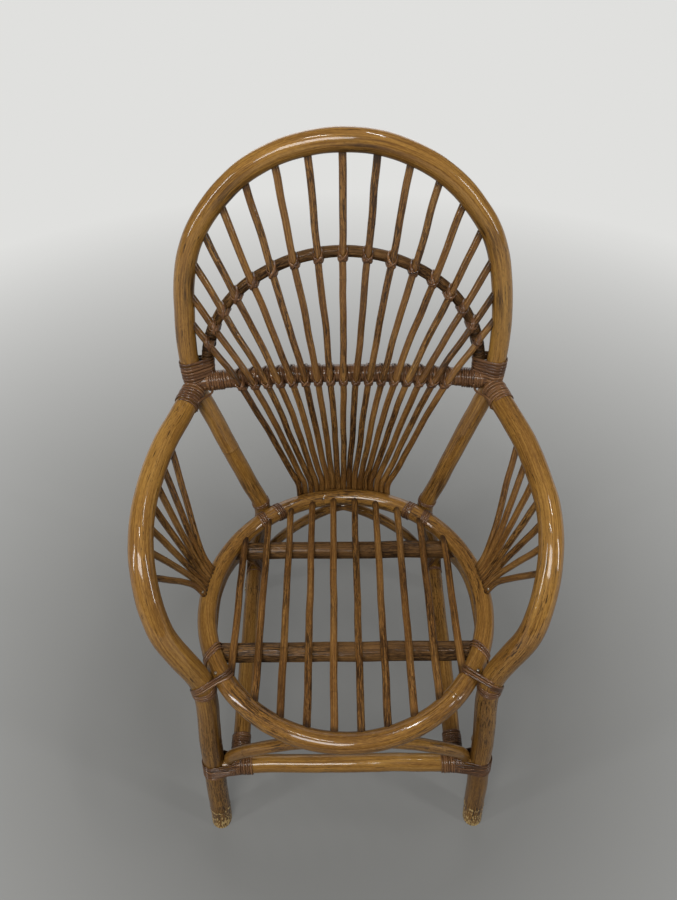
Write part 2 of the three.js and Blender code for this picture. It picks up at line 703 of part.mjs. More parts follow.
// How far the poles that a binding holds reach across it, over the width of the strip;
// each pole is a row of balls along its centre line
function heldSupport(frameAt, held) {
  return (angle, along) => {
    const { origin, across, over, axis } = frameAt(along);
    const direction = across.clone().multiplyScalar(Math.cos(angle));
    direction.addScaledVector(over, Math.sin(angle));
    let reach = 0;
    for (const { points, radius } of held) {
      for (const point of points) {
        const offset = point.clone().sub(origin);
        const beside = Math.max(0, Math.abs(offset.dot(axis)) - PEEL_WIDTH / 2);
        if (beside < radius) {
          reach = Math.max(reach, offset.dot(direction) + Math.sqrt(radius ** 2 - beside ** 2));
        }
      }
    }
    return reach;
  };
}

// A stretch of a pole that a binding holds, on both sides of a distance along it
function stretchOf(curve, steps, diameter, distance) {
  const nodes = curve.getSpacedPoints(steps);
  const stepLength = curve.getLength() / steps;
  const points = [];
  for (let along = -HELD_REACH; along <= HELD_REACH; along += 1) {
    const place = THREE.MathUtils.clamp((distance + along) / stepLength, 0, steps);
    const step = Math.min(Math.floor(place), steps - 1);
    points.push(nodes[step].clone().lerp(nodes[step + 1], place - step));
  }
  return { points, radius: diameter / 2 };
}

// Distance along a pole at which a binding round it is clear of the spaces of its neighbours:
// it moves on by the gap between turns, towards the side that is given
function clearDistance(line, steps, diameter, distance, side, turns, spaces) {
  const held = [stretchOf(line, steps, diameter, distance)];
  const strip = toSolid(stripGeometry(windStrip(frameOnCurve(line, distance), held, turns)));
  if (spaces.every((space) => strip.intersect(space).isEmpty())) {
    return distance;
  }
  return clearDistance(line, steps, diameter, distance + side * PEEL_GAP, side, turns, spaces);
}

// A binding round the arm's rear end, and one round each end of the cross bar
for (const { name, sign } of SIDES) {
  const armLine = armLines[name];
  const armBack = HOOP_D / 2 + ARM_BINDING_SETBACK - ARM_END_SHORT;
  const armMiddle = armLine.getLength() - armBack - bindingLength(ARM_BINDING_TURNS) / 2;
  const armHeld = [stretchOf(armLine, ARM_STEPS, ARM_D, armMiddle)];
  addBinding(`arm_binding_${name}`, frameOnCurve(armLine, armMiddle), armHeld, ARM_BINDING_TURNS);

  const barIn = HOOP_D / 2 + BINDING_MARGIN + bindingLength(CROSSBAR_BINDING_TURNS) / 2;
  const barStart = sign > 0 ? barIn : crossbarLine.getLength() - barIn;
  const bar = [crossbarLine, CROSSBAR_STEPS, CROSSBAR_D];
  const barNeighbours = [hoopSpace, backArchSpace];
  const barMiddle = clearDistance(...bar, barStart, sign, CROSSBAR_BINDING_TURNS, barNeighbours);
  const barHeld = [stretchOf(crossbarLine, CROSSBAR_STEPS, CROSSBAR_D, barMiddle)];
  const barFrame = frameOnCurve(crossbarLine, barMiddle);
  addBinding(`crossbar_binding_${name}`, barFrame, barHeld, CROSSBAR_BINDING_TURNS);
}

// A binding that holds the foot of the inner arch to the hoop
for (const { name, sign } of SIDES) {
  const fromArchFoot = BINDING_MARGIN + bindingLength(HOOP_BINDING_TURNS) / 2;
  const hoopUp = distanceAtHeight(hoopLine, archFootHeight + fromArchFoot);
  const hoopDistance = sign > 0 ? hoopUp : hoopLine.getLength() - hoopUp;
  const archDistance = sign > 0 ? fromArchFoot : backArchLine.getLength() - fromArchFoot;
  const held = [
    stretchOf(hoopLine, HOOP_STEPS, HOOP_D, hoopDistance),
    stretchOf(backArchLine, BACK_ARCH_STEPS, BACK_ARCH_D, archDistance),
  ];
  const frameAt = frameOnCurve(hoopLine, hoopDistance, FRONTWARD);
  addBinding(`hoop_binding_${name}`, frameAt, held, HOOP_BINDING_TURNS);
}

// A diagonal lashing round the ring and a pole that crosses it at the height of the ring
function addLashing(name, line, steps, diameter, distance, slant) {
  const touch = line.getPointAt(distance / line.getLength());
  const poleAxis = line.getTangentAt(distance / line.getLength());
  poleAxis.multiplyScalar(Math.sign(poleAxis.z));
  const across = touch.clone().setZ(0).normalize();
  const ringAxis = UP.clone().cross(across);
  const diagonal = ringAxis.multiplyScalar(slant).add(poleAxis);
  const over = diagonal.projectOnPlane(across).normalize();
  const axis = across.clone().cross(over);
  const middle = across.clone().multiplyScalar(SEAT_RADIUS + RING_D / 2).setZ(SEAT_HEIGHT);
  const frameAt = (along) => {
    const origin = middle.clone().addScaledVector(axis, along);
    return { origin, across, over, axis };
  };
  const turn = Math.atan2(touch.y, touch.x) / (2 * Math.PI);
  const ringDistance = THREE.MathUtils.euclideanModulo(turn, 1) * ringLine.getLength();
  const held = [
    stretchOf(ringLine, RING_STEPS, RING_D, ringDistance),
    stretchOf(line, steps, diameter, distance),
  ];
  addBinding(name, frameAt, held, LASHING_TURNS);
}
for (const { name, sign } of SIDES) {
  const postUp = distanceAtHeight(hoopLine, SEAT_HEIGHT);
  const postDistance = sign > 0 ? postUp : hoopLine.getLength() - postUp;
  addLashing(`post_lashing_${name}`, hoopLine, HOOP_STEPS, HOOP_D, postDistance, sign);
  const armDistance = distanceAtHeight(armLines[name], SEAT_HEIGHT);
  addLashing(`arm_lashing_${name}`, armLines[name], ARM_STEPS, ARM_D, armDistance, -sign);
}

// Bindings of the stretchers, beside their joints
function addStretcherBinding(name, line, distance) {
  const held = [stretchOf(line, 1, STRETCHER_D, distance)];
  addBinding(name, frameOnCurve(line, distance), held, STRETCHER_BINDING_TURNS);
}
for (const [i, { name, sign }] of SIDES.entries()) {
  const half = bindingLength(STRETCHER_BINDING_TURNS) / 2;
  const besideJoint = sideStretcherFront - STRETCHER_D / 2 - BINDING_MARGIN - half;
  const frontDistance = frontLegLow.x + sign * besideJoint;
  addStretcherBinding(`front_stretcher_binding_${name}`, frontStretcherLine, frontDistance);

  const sideLine = sideStretcherLine(sign);
  const fromFront = STRETCHER_D / 2 + BINDING_MARGIN + half;
  addStretcherBinding(`side_stretcher_binding_${name}`, sideLine, fromFront);

  const archFoot = rearFootReach + LEG_ARCH_D / 2;
  const fromRear = sideLine.getLength() - archFoot - BINDING_MARGIN - half;
  const sideBar = [sideLine, 1, STRETCHER_D];
  const turns = STRETCHER_BINDING_TURNS;
  const clearOfArch = clearDistance(...sideBar, fromRear, -1, turns, [sideArchSpaces[i]]);
  addStretcherBinding(`rear_leg_binding_${name}`, sideLine, clearOfArch);
}

// The origin is under the middle of the chair's box, on the ground
const box = new THREE.Box3().setFromObject(chair);
chair.position.y = -(box.min.y + box.max.y) / 2;

export default chair;
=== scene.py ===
# Looks of a rattan peacock armchair: poles, canes, peel bindings and their finishes.
# Metres, +Z up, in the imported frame. Shapes are laid out from the seat centre, then moved by SEAT_Y.
import math

import bpy
import numpy as np
from mathutils import Matrix, Vector


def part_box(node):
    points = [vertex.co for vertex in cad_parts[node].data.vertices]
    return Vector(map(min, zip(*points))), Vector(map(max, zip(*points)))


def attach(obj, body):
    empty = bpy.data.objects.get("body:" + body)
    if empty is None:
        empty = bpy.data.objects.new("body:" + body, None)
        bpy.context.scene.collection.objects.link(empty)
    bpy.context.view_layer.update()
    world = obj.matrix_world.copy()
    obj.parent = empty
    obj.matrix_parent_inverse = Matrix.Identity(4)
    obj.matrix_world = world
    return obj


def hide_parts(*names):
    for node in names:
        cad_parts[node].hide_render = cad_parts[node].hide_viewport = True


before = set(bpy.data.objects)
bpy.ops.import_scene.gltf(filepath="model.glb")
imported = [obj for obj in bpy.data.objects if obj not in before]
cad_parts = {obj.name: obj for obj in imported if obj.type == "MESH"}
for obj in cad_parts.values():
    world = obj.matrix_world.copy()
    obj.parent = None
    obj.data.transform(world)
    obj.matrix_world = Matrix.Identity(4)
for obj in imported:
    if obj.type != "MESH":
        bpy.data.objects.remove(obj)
scene = bpy.context.scene
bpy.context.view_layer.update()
ring_low, ring_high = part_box("seat_ring")
SEAT_Y = (ring_low[1] + ring_high[1]) / 2

# Diameters of the poles and canes, and the fits between them
CLEARANCE = 0.0003
RING_NOTCH = 0.001
RING_D = 0.030
HOOP_D = 0.030
ARM_D = 0.035
STRETCHER_D = 0.029
LEG_ARCH_D = 0.019
BEARER_D = 0.030
BACK_ARCH_D = 0.017
CROSSBAR_D = 0.029
FAN_CANE_D = 0.010
SLAT_D = 0.011
ARM_CANE_D = 0.0095
CANE_SWELL = 1.07

# Seat ring
SEAT_HEIGHT = 0.370
SEAT_RADIUS = 0.225
RING_SEAM_ANGLE = math.radians(75)
RING_NODE_ANGLES = [math.radians(a) for a in (-46, 203, 100)]

# Back hoop, posts and rear legs
HOOP_HALF_WIDTH = 0.237
HOOP_SPRING_RISE = 0.388
HOOP_TOP_SETBACK = 0.073
JOINT_RISE = 0.262
JOINT_SETBACK = 0.018
POST_ANGLE = math.radians(36.4)
POST_STRAIGHT = (0.22, 0.85)  # shares of the way up to the joint
REAR_FOOT_OUT = 0.062
REAR_FOOT_BACK = 0.055
LEG_BEND_HEIGHT = 0.230
HOOP_ARC_POINTS = 7

# Arms and front legs: out from the ring's side, depth behind the seat centre, rise above the ring
FRONT_FOOT_OUT = 0.010
FRONT_FOOT_BACK = -0.080
ARM_ANGLE = math.radians(-32.6)
ARM_BENDS = [(0.037, -0.112, 0.130), (0.059, -0.030, 0.212), (0.053, 0.092, 0.241)]
ARM_END_DROP = 0.002
ARM_END_SHORT = 0.008

# Cross bar and inner arch of the back
CROSSBAR_RISE = 0.268
CROSSBAR_BOW = 0.020
BACK_ARCH_FOOT_RISE = 0.286
BACK_ARCH_TOP_RISE = 0.472
BACK_ARCH_FOOT_ANGLE = math.radians(18)

# Fan of the back
FAN_COUNT = 17
FAN_BAR_SPACING = 0.0204
FAN_BEND_RISE = 0.030
FAN_BEND_SHARE = 0.12
FAN_FOOT_DROP = 0.014

# Seat slats and bearers
SLAT_COUNT = 10
SLAT_EDGE_INSET = 0.0504
SLAT_RISE = 0.005
BEARER_DEPTHS = {"rear": 0.116, "front": -0.078}

# Low frame
STRETCHER_HEIGHT = 0.167
SIDE_STRETCHER_INSET = 0.0425
FRONT_ARCH_INSET = 0.013
REAR_ARCH_INSET = 0.0
SIDE_ARCH_INSET = 0.004
LEG_ARCH_POWER = 1.25
REAR_ARCH_POWER = 1.5

# Fan of each arm
ARM_CANE_COUNT = 7
ARM_CANE_BITE = 0.001
ARM_CANE_FIRST_DEPTH = 0.140
ARM_CANE_SPACING = 0.0345
ARM_CANE_FOOT_DEPTH = 0.034
ARM_CANE_FOOT_LEAN = math.radians(68)
ARM_CANE_FOOT_RUN = 0.042

# Peel strips
PEEL_WIDTH = 0.0034
PEEL_THICKNESS = 0.0015
PEEL_STRIP = (0.0038, PEEL_WIDTH, PEEL_THICKNESS)  # pitch, width, thickness
WRAP_PITCH = 0.0057
WRAP_THICKNESS = 0.0011
WRAP_STRIP = (WRAP_PITCH, 0.0061, WRAP_THICKNESS)
JOINT_STRIP = (0.0053, 0.0050, 0.0018)
TIE_WIDTH = 0.0042
TIE_THICKNESS = 0.0017
TIE_RISES = (0.0038, 0.0078)
TIE_STEPS = 64
HELD_REACH = 0.045
ARM_WRAP_BACK = 0.019
BAR_WRAP_IN = 0.018
BAR_STRAND_IN = 0.030
ARM_STRAND_BACK = 0.014
HOOP_WRAP_RISE = 0.003
INNER_ARCH_WRAP_IN = 0.045
POST_BAND_OFFSET = 0.017
POST_STRAP_DROP = 0.003
ARM_BAND_OFFSET = 0.036
LEG_BAND_DROP = 0.009
FRONT_WRAP_IN = 0.047
FRONT_HELD_REACH = 0.040
SIDE_WRAP_IN = 0.018
ARCH_FOOT_HELD = 0.012

# Nails: offsets along the ring from each post, with how far each leans up, and a rise on the arm fan
POST_NAILS = [(-0.020, 0.45), (0.012, 0.95)]
FAN_NAIL_RISE = 0.024
NAIL_RADIUS = 0.0024
NAIL_SIDES = 14

# Tones from the start of a pole to its end: -1 is dark and marked with dashes, 1 is golden and clean
# The dark ends at the feet of the hoop and the arms are partly painted shade, for light that falls off low
# down
RING_TONE = (-0.9, -0.6, -0.2, -0.9, -0.4, -0.9, -0.1, -0.9)
HOOP_TONE_AND_SHADE = (-1.0, -0.8, -0.4, 0.6, 0.9, 0.9, 0.9, 0.6, -0.4, -0.8, -1.0)
ARM_TONE_AND_SHADE = (-1.0, -0.9, -0.3, 0.2, 0.6, 0.3)

# Scorch marks of the bending, facing a point in front of the hoop's middle: angles on the hoop from its
# top, and a rise on the posts
HOOP_SCORCHES = [math.radians(a) for a in (4, 60, 86, -41, -78)]
SCORCH_FORWARD = 0.15
POST_SCORCH_RISE = 0.052

# Growth rings: where they are on the poles that show only a few, how far they reach, and their
# swelling and groove as shares of the radius
LEG_NODE_HEIGHT = 0.047
POST_NODE_RISE = 0.135
NODE_REACH = 0.006
NODE_MARK_REACH = 0.0011
NODE_SWELLING = 0.035
NODE_GROOVE = 0.02

# Unevenness of a pole: shares of its radius with the lengths of their waves, sways, and cut ends
THICKNESS_WAVES = [(0.012, 0.33), (0.005, 0.06)]
SWAY_WAVES = (0.21, 0.17)
SWAY_EASE = 0.03
OVAL_SHARE = 0.012
CUT_RIM_SHARE = 0.9
CUT_RISE_SHARE = 0.05

# How far marks run: worn feet, scuffs round them, scorches, and the painted shade beside a joint
FOOT_WEAR_HEIGHT = 0.033
SCUFF_REACH = 0.0025
SCORCH_REACH = 0.032
PAINTED_SHADE_REACH = 0.006

# Stretch of a foot without rows of points, where it is cut level with the ground
FOOT_TRIM = 0.010

# Camera, placed from the seat centre, and floor
CAMERA_PLACE = (-0.009, -0.584, 1.346)
CAMERA_PITCH = math.radians(46.38)
CAMERA_ROLL = 0.010
CAMERA_LENS = 27.08
FLOOR_REACH = 30.0

UP = np.array([0.0, 0.0, 1.0])
FRONTWARD = np.array([0.0, -1.0, 0.0])
SIDES = {"left": -1, "right": 1}
BOTH_ENDS = (True, True)
FIRST_END = (True, False)
NEITHER_END = (False, False)


# Lines

def unit(vector):
    return vector / np.linalg.norm(vector, axis=-1, keepdims=True)


class Line:
    """A centre line as evenly spaced points."""

    def __init__(self, points, spacing=0.001):
        points = np.asarray(points, float)
        runs = np.linalg.norm(np.diff(points, axis=0), axis=1)
        reach = np.concatenate([[0], np.cumsum(runs)])
        self.length = reach[-1]
        self.s = np.linspace(0, self.length, max(3, round(self.length / spacing) + 1))
        self.p = np.stack([np.interp(self.s, reach, points[:, k]) for k in range(3)], axis=1)

    def at(self, s):
        return np.stack([np.interp(s, self.s, self.p[:, k]) for k in range(3)], axis=-1)

    def heading(self, s, step=0.002):
        return unit(self.at(np.minimum(s + step, self.length)) - self.at(np.maximum(s - step, 0)))

    def where(self, axis, value, first=0.0, last=1.0):
        """Distance at which a coordinate that grows along this stretch has a value."""
        part = slice(int(first * len(self.s)), int(last * len(self.s)))
        return float(np.interp(value, self.p[part, axis], self.s[part]))

    def rising(self, height):
        """Distance at which a pole, rising from the ground, has a height."""
        return self.where(2, height, 0, 0.5)

    def stretch(self, s, reach=HELD_REACH):
        """Points on both sides of a distance, for a binding to hold."""
        return self.p[np.abs(self.s - s) <= reach]


def spline(points, per_span=40):
    """Centripetal Catmull-Rom curve through points."""
    p = [np.array(q, float) for q in points]
    p = [2 * p[0] - p[1], *p, 2 * p[-1] - p[-2]]
    t = np.linspace(0, 1, per_span, endpoint=False)[:, None]
    rows = []
    for a, b, c, d in zip(p, p[1:], p[2:], p[3:]):
        g0, g1, g2 = (math.sqrt(np.linalg.norm(v - u)) for u, v in ((a, b), (b, c), (c, d)))
        m1 = ((b - a) / g0 - (c - a) / (g0 + g1) + (c - b) / g1) * g1
        m2 = ((c - b) / g1 - (d - b) / (g1 + g2) + (d - c) / g2) * g1
        rows.append(b + m1 * t + (3 * (c - b) - 2 * m1 - m2) * t**2 + (2 * (b - c) + m1 + m2) * t**3)
    rows.append(p[-2][None])
    return Line(np.concatenate(rows))


def arch(start, end, crown, power=1.0, count=240):
    """Half an ellipse, or a more pointed arch, on two feet, with its crown at a third point."""
    start, end, crown = (np.array(q, float) for q in (start, end, crown))
    middle = (start + end) / 2
    angle = np.linspace(0, math.pi, count)[:, None]
    across = np.sign(np.cos(angle)) * np.abs(np.cos(angle)) ** power
    return Line(middle + (start - middle) * across + (crown - middle) * np.abs(np.sin(angle)) ** power)


def mirrored(points):
    return [np.array(p) * (-1, 1, 1) for p in points]


joint_depth = SEAT_RADIUS + JOINT_SETBACK
joint_height = SEAT_HEIGHT + JOINT_RISE
spring_height = SEAT_HEIGHT + HOOP_SPRING_RISE
hoop_top_height = spring_height + HOOP_HALF_WIDTH


def hoop_depth(height):
    share = (height - joint_height) / (hoop_top_height - joint_height)
    return joint_depth + share * (HOOP_TOP_SETBACK - JOINT_SETBACK)


def hoop_point(angle):
    height = spring_height + HOOP_HALF_WIDTH * math.cos(angle)
    return np.array([HOOP_HALF_WIDTH * math.sin(angle), hoop_depth(height), height])


def leg_points(touch, out, back):
    foot = np.array([touch[0] + out, touch[1] + back, 0])
    return [foot, foot + (touch - foot) * LEG_BEND_HEIGHT / touch[2], touch]


def ring_point(angle, radius=SEAT_RADIUS, height=SEAT_HEIGHT):
    return np.array([radius * math.cos(angle), radius * math.sin(angle), height])


def ring_distance(angle):
    return ((angle - RING_SEAM_ANGLE) % (2 * math.pi)) * SEAT_RADIUS


ring_angles = RING_SEAM_ANGLE + np.linspace(0, 2 * math.pi, 1440)
ring_line = Line([ring_point(a) for a in ring_angles])
at_ring = (ring_line, RING_D / 2)

post_reach = SEAT_RADIUS + RING_D / 2 + HOOP_D / 2 + CLEARANCE - RING_NOTCH
post_touch = ring_point(math.pi / 2 - POST_ANGLE, post_reach)
half_hoop = leg_points(post_touch, REAR_FOOT_OUT, REAR_FOOT_BACK)
hoop_joint = np.array([HOOP_HALF_WIDTH, joint_depth, joint_height])
half_hoop += [post_touch + (hoop_joint - post_touch) * share for share in (*POST_STRAIGHT, 1)]
hoop_arc = [hoop_point(a) for a in np.linspace(math.pi / 2, -math.pi / 2, HOOP_ARC_POINTS)]
hoop_line = spline([*half_hoop, *hoop_arc, *mirrored(half_hoop)[::-1]])

arm_reach = SEAT_RADIUS + RING_D / 2 + ARM_D / 2 + CLEARANCE - RING_NOTCH
arm_points = leg_points(ring_point(ARM_ANGLE, arm_reach), FRONT_FOOT_OUT, FRONT_FOOT_BACK)
arm_points += [np.array([SEAT_RADIUS + out, y, SEAT_HEIGHT + rise]) for out, y, rise in ARM_BENDS]
arm_joint = np.array([HOOP_HALF_WIDTH, joint_depth, joint_height - ARM_END_DROP])
arm_points.append(arm_joint - unit(arm_joint - arm_points[-1]) * ARM_END_SHORT)
arm_lines = {-1: spline(mirrored(arm_points)), 1: spline(arm_points)}

crossbar_height = SEAT_HEIGHT + CROSSBAR_RISE


def crossbar_depth(x):
    return joint_depth + CROSSBAR_BOW * (1 - (x / HOOP_HALF_WIDTH) ** 2)


crossbar_line = Line([
    (x, crossbar_depth(x), crossbar_height)
    for x in np.linspace(-HOOP_HALF_WIDTH, HOOP_HALF_WIDTH, 120)
])

arch_foot_height = SEAT_HEIGHT + BACK_ARCH_FOOT_RISE
arch_top_height = SEAT_HEIGHT + BACK_ARCH_TOP_RISE
arch_foot_reach = HOOP_D / 2 + BACK_ARCH_D / 2 + CLEARANCE
arch_half_span = HOOP_HALF_WIDTH - arch_foot_reach * math.cos(BACK_ARCH_FOOT_ANGLE)
arch_foot_depth = hoop_depth(arch_foot_height) + arch_foot_reach * math.sin(BACK_ARCH_FOOT_ANGLE)
bar_to_fan = CROSSBAR_D / 2 + FAN_CANE_D / 2 + CLEARANCE
arch_to_fan = BACK_ARCH_D / 2 + FAN_CANE_D / 2 + CLEARANCE
arch_top_share = (arch_top_height - crossbar_height) / (hoop_top_height - crossbar_height)
fan_depth_at_bar = crossbar_depth(0) - bar_to_fan
fan_depth_at_top = joint_depth + HOOP_TOP_SETBACK - JOINT_SETBACK
arch_top_depth = fan_depth_at_bar + arch_top_share * (fan_depth_at_top - fan_depth_at_bar) + arch_to_fan
back_arch_line = arch(
    (-arch_half_span, arch_foot_depth, arch_foot_height),
    (arch_half_span, arch_foot_depth, arch_foot_height),
    (0, arch_top_depth, arch_top_height),
)


def arch_crossing(bar, end):
    """Where a cane from the cross bar to the hoop passes in front of the inner arch."""
    rise = arch_top_height - arch_foot_height
    x, z = bar[0] / arch_half_span, (bar[2] - arch_foot_height) / rise
    dx, dz = (end[0] - bar[0]) / arch_half_span, (end[2] - bar[2]) / rise
    a, b, c = dx * dx + dz * dz, 2 * (x * dx + z * dz), x * x + z * z - 1
    point = bar + (end - bar) * (-b + math.sqrt(b * b - 4 * a * c)) / (2 * a)
    share = (point[2] - arch_foot_height) / rise
    point[1] = arch_foot_depth + share * (arch_top_depth - arch_foot_depth) - arch_to_fan
    return point


def fan_cane(index):
    """Centre line of a cane of the back, with its places on the cross bar and the inner arch."""
    step = index - (FAN_COUNT - 1) / 2
    foot_x = step * (FAN_CANE_D + CLEARANCE)
    foot_reach = SEAT_RADIUS + RING_D / 2 + FAN_CANE_D / 2 + CLEARANCE - RING_NOTCH
    foot_y = math.sqrt(foot_reach**2 - foot_x**2)
    bar_x = step * FAN_BAR_SPACING
    bar = np.array([bar_x, crossbar_depth(bar_x) - bar_to_fan, crossbar_height])
    end = hoop_point(step * math.pi / (FAN_COUNT - 1))
    crossing = arch_crossing(bar, end)
    foot = np.array([foot_x, foot_y, SEAT_HEIGHT - FAN_FOOT_DROP])
    bend = np.array([foot_x, foot_y, SEAT_HEIGHT + FAN_BEND_RISE])
    return spline([foot, bend, bend + (bar - bend) * FAN_BEND_SHARE, bar, crossing, end]), bar, crossing


front_leg_low = arm_lines[1].at(arm_lines[1].rising(STRETCHER_HEIGHT))
rear_leg_low = hoop_line.at(hoop_line.rising(STRETCHER_HEIGHT))
front_stretcher_line = Line([front_leg_low * (-1, 1, 1), front_leg_low])
side_stretcher_front = front_leg_low - (SIDE_STRETCHER_INSET, 0, 0)
side_stretcher_lines = {
    sign: Line([side_stretcher_front * (sign, 1, 1), rear_leg_low * (sign, 1, 1)])
    for sign in SIDES.values()
}

leg_arch_foot = STRETCHER_HEIGHT + STRETCHER_D / 2 + CLEARANCE
front_leg_foot = arm_lines[1].at(arm_lines[1].rising(leg_arch_foot))
rear_leg_foot = hoop_line.at(hoop_line.rising(leg_arch_foot))
front_foot_reach = ARM_D / 2 + LEG_ARCH_D / 2 + CLEARANCE
rear_foot_reach = HOOP_D / 2 + LEG_ARCH_D / 2 + CLEARANCE
crown_reach = RING_D / 2 + LEG_ARCH_D / 2 + CLEARANCE


def crown_height(inset):
    return SEAT_HEIGHT - math.sqrt(crown_reach**2 - inset**2)


def cross_arch(leg, foot_reach, side, inset, power):
    half = leg[0] - foot_reach
    crown = (0, side * (SEAT_RADIUS - inset), crown_height(inset))
    return arch((-half, leg[1], leg_arch_foot), (half, leg[1], leg_arch_foot), crown, power)


def side_arch(sign):
    along = unit(rear_leg_foot - front_leg_foot)
    start = front_leg_foot + along * front_foot_reach
    end = rear_leg_foot - along * rear_foot_reach
    crown = unit((start + end) * (1, 1, 0)) * (SEAT_RADIUS - SIDE_ARCH_INSET)
    crown[2] = crown_height(SIDE_ARCH_INSET)
    return arch(*(p * (sign, 1, 1) for p in (start, end, crown)), LEG_ARCH_POWER)


leg_arch_lines = {
    "front_arch": cross_arch(front_leg_foot, front_foot_reach, -1, FRONT_ARCH_INSET, LEG_ARCH_POWER),
    "rear_arch": cross_arch(rear_leg_foot, rear_foot_reach, 1, REAR_ARCH_INSET, REAR_ARCH_POWER),
    "side_arch_left": side_arch(-1),
    "side_arch_right": side_arch(1),
}


def arm_cane(sign, index):
    from_middle = (ARM_CANE_COUNT - 1) / 2 - index
    angle = (ARM_CANE_FOOT_DEPTH + from_middle * (ARM_CANE_D - ARM_CANE_BITE)) / SEAT_RADIUS
    outward = np.array([sign * math.cos(angle), math.sin(angle), 0])
    foot = outward * SEAT_RADIUS + UP * SEAT_HEIGHT
    lean = outward * math.cos(ARM_CANE_FOOT_LEAN) + UP * math.sin(ARM_CANE_FOOT_LEAN)
    line = arm_lines[sign]
    end = line.at(line.where(1, ARM_CANE_FIRST_DEPTH - index * ARM_CANE_SPACING, 0.5, 1))
    return spline([foot, foot + lean * ARM_CANE_FOOT_RUN, end])


# Surfaces

def ripple(rng, s, wave):
    """A smooth irregular wave of about unit height along a distance."""
    total = np.zeros_like(s)
    for share in (1.0, 0.57, 0.31):
        total += share * np.sin(2 * math.pi * (s / (wave * share) + rng.random()))
    return total / 1.2


def hill(gap, reach):
    """A smooth hill of unit height, by the gap to its middle."""
    return np.exp(-(gap / reach) ** 2)


def carried_frames(points, reference):
    """Headings along points, and two sides carried along them without twist."""
    heading = unit(np.gradient(points, axis=0))
    side = np.empty_like(points)
    last = np.asarray(reference, float)
    for i, t in enumerate(heading):
        last = unit(last - t * np.dot(last, t))
        side[i] = last
    return heading, side, np.cross(heading, side)


def stacked(*parts):
    """Three arrays as one array of triples."""
    return np.stack(np.broadcast_arrays(*parts), axis=-1)


class Shape:
    """Surface patches of one piece, with the data that its material reads.

    grain: place in the straightened pole; marks: growth ring, wear, cut end; shade: tone, painted shade,
    scorch.
    """

    def __init__(self):
        self.verts, self.grain, self.marks, self.shade = [], [], [], []
        self.faces = []
        self.count = 0

    def add_points(self, points, grain, marks, shade):
        first = self.count
        self.verts.append(points)
        self.grain.append(np.broadcast_to(grain, points.shape))
        self.marks.append(np.broadcast_to(marks, points.shape))
        self.shade.append(np.broadcast_to(shade, points.shape))
        self.count += len(points)
        return first

    def add_grid(self, grid, grain, marks, shade, closed=False):
        """Rows along the piece, columns round it."""
        rows, columns = grid.shape[:2]
        flat = [np.broadcast_to(a, grid.shape).reshape(-1, 3) for a in (grid, grain, marks, shade)]
        ids = self.add_points(*flat) + np.arange(rows * columns).reshape(rows, columns)
        beside = np.roll(ids, -1, axis=1)
        ahead, ahead_beside = (np.roll(a, -1, axis=0) for a in (ids, beside))
        quads = np.stack([ids, beside, ahead_beside, ahead], axis=-1)
        self.faces += (quads if closed else quads[:-1]).reshape(-1, 4).tolist()
        return ids

    def close_end(self, row, centre, grain, marks, shade, forward):
        middle = self.add_points(centre[None], grain, marks, shade)
        beside = np.roll(row, -1)
        for a, b in zip(row.tolist(), beside.tolist()):
            self.faces.append([middle, a, b] if forward else [middle, b, a])

    def make(self, name, slot, material, *nodes):
        verts = np.concatenate(self.verts) + (0, SEAT_Y, 0)
        mesh = bpy.data.meshes.new(name)
        mesh.from_pydata(verts.tolist(), [], self.faces)
        for key in ("grain", "marks", "shade"):
            data = mesh.attributes.new(key, "FLOAT_VECTOR", "POINT")
            data.data.foreach_set("vector", np.concatenate(getattr(self, key)).ravel())
        mesh.shade_smooth()
        mesh.materials.append(material)
        piece = bpy.data.objects.new(name, mesh)
        scene.collection.objects.link(piece)
        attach(piece, "root")
        if nodes:
            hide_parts(*nodes)


def growth_nodes(rng, length, spacing):
    """Distances of the growth rings along a pole."""
    places = []
    s = spacing * (0.2 + 0.6 * rng.random())
    while s < length:
        places.append(s)
        s += spacing * (0.75 + 0.5 * rng.random())
    return places


def joint_painted_shade(points, meeting):
    """Painted shade where a line meets poles, darkening the crevice: 1 at their surface, 0 beyond its reach.
    """
    painted_shade = np.zeros(len(points))
    for line, radius in meeting:
        gap = np.linalg.norm(points[:, None] - line.p[None, ::3], axis=2).min(axis=1) - radius
        painted_shade = np.maximum(painted_shade, np.clip(1 - gap / PAINTED_SHADE_REACH, 0, 1))
    return painted_shade


def pole_rows(line, spacing, nodes, on_ground):
    """Rows of points along a pole, closer together at its growth rings."""
    rows = [np.linspace(0, line.length, max(10, round(line.length / spacing) + 1))]
    rows += [node + np.linspace(-NODE_REACH, NODE_REACH, 17) for node in nodes]
    s = np.unique(np.clip(np.concatenate(rows), 0, line.length))
    s = s[np.concatenate([[True], np.diff(s) > 0.0004])]
    keep = np.ones(len(s), bool)
    if on_ground[0]:
        keep &= (s == 0) | (s > FOOT_TRIM)
    if on_ground[1]:
        keep &= (s == s[-1]) | (s < line.length - FOOT_TRIM)
    return s[keep]


def rib_heights(rng, s, sides):
    """Ribs along a pole without its skin, which wander a little round it."""
    heights = rng.uniform(-1, 0.4, sides)
    drift = np.stack([np.roll(heights, k) for k in range(6)])
    turn = np.interp(np.sin(s * 9 + rng.random() * 6), [-1, 1], [0, 5])
    low, share = turn.astype(int), turn % 1
    return drift[low] * (1 - share)[:, None] + drift[np.minimum(low + 1, 5)] * share[:, None]


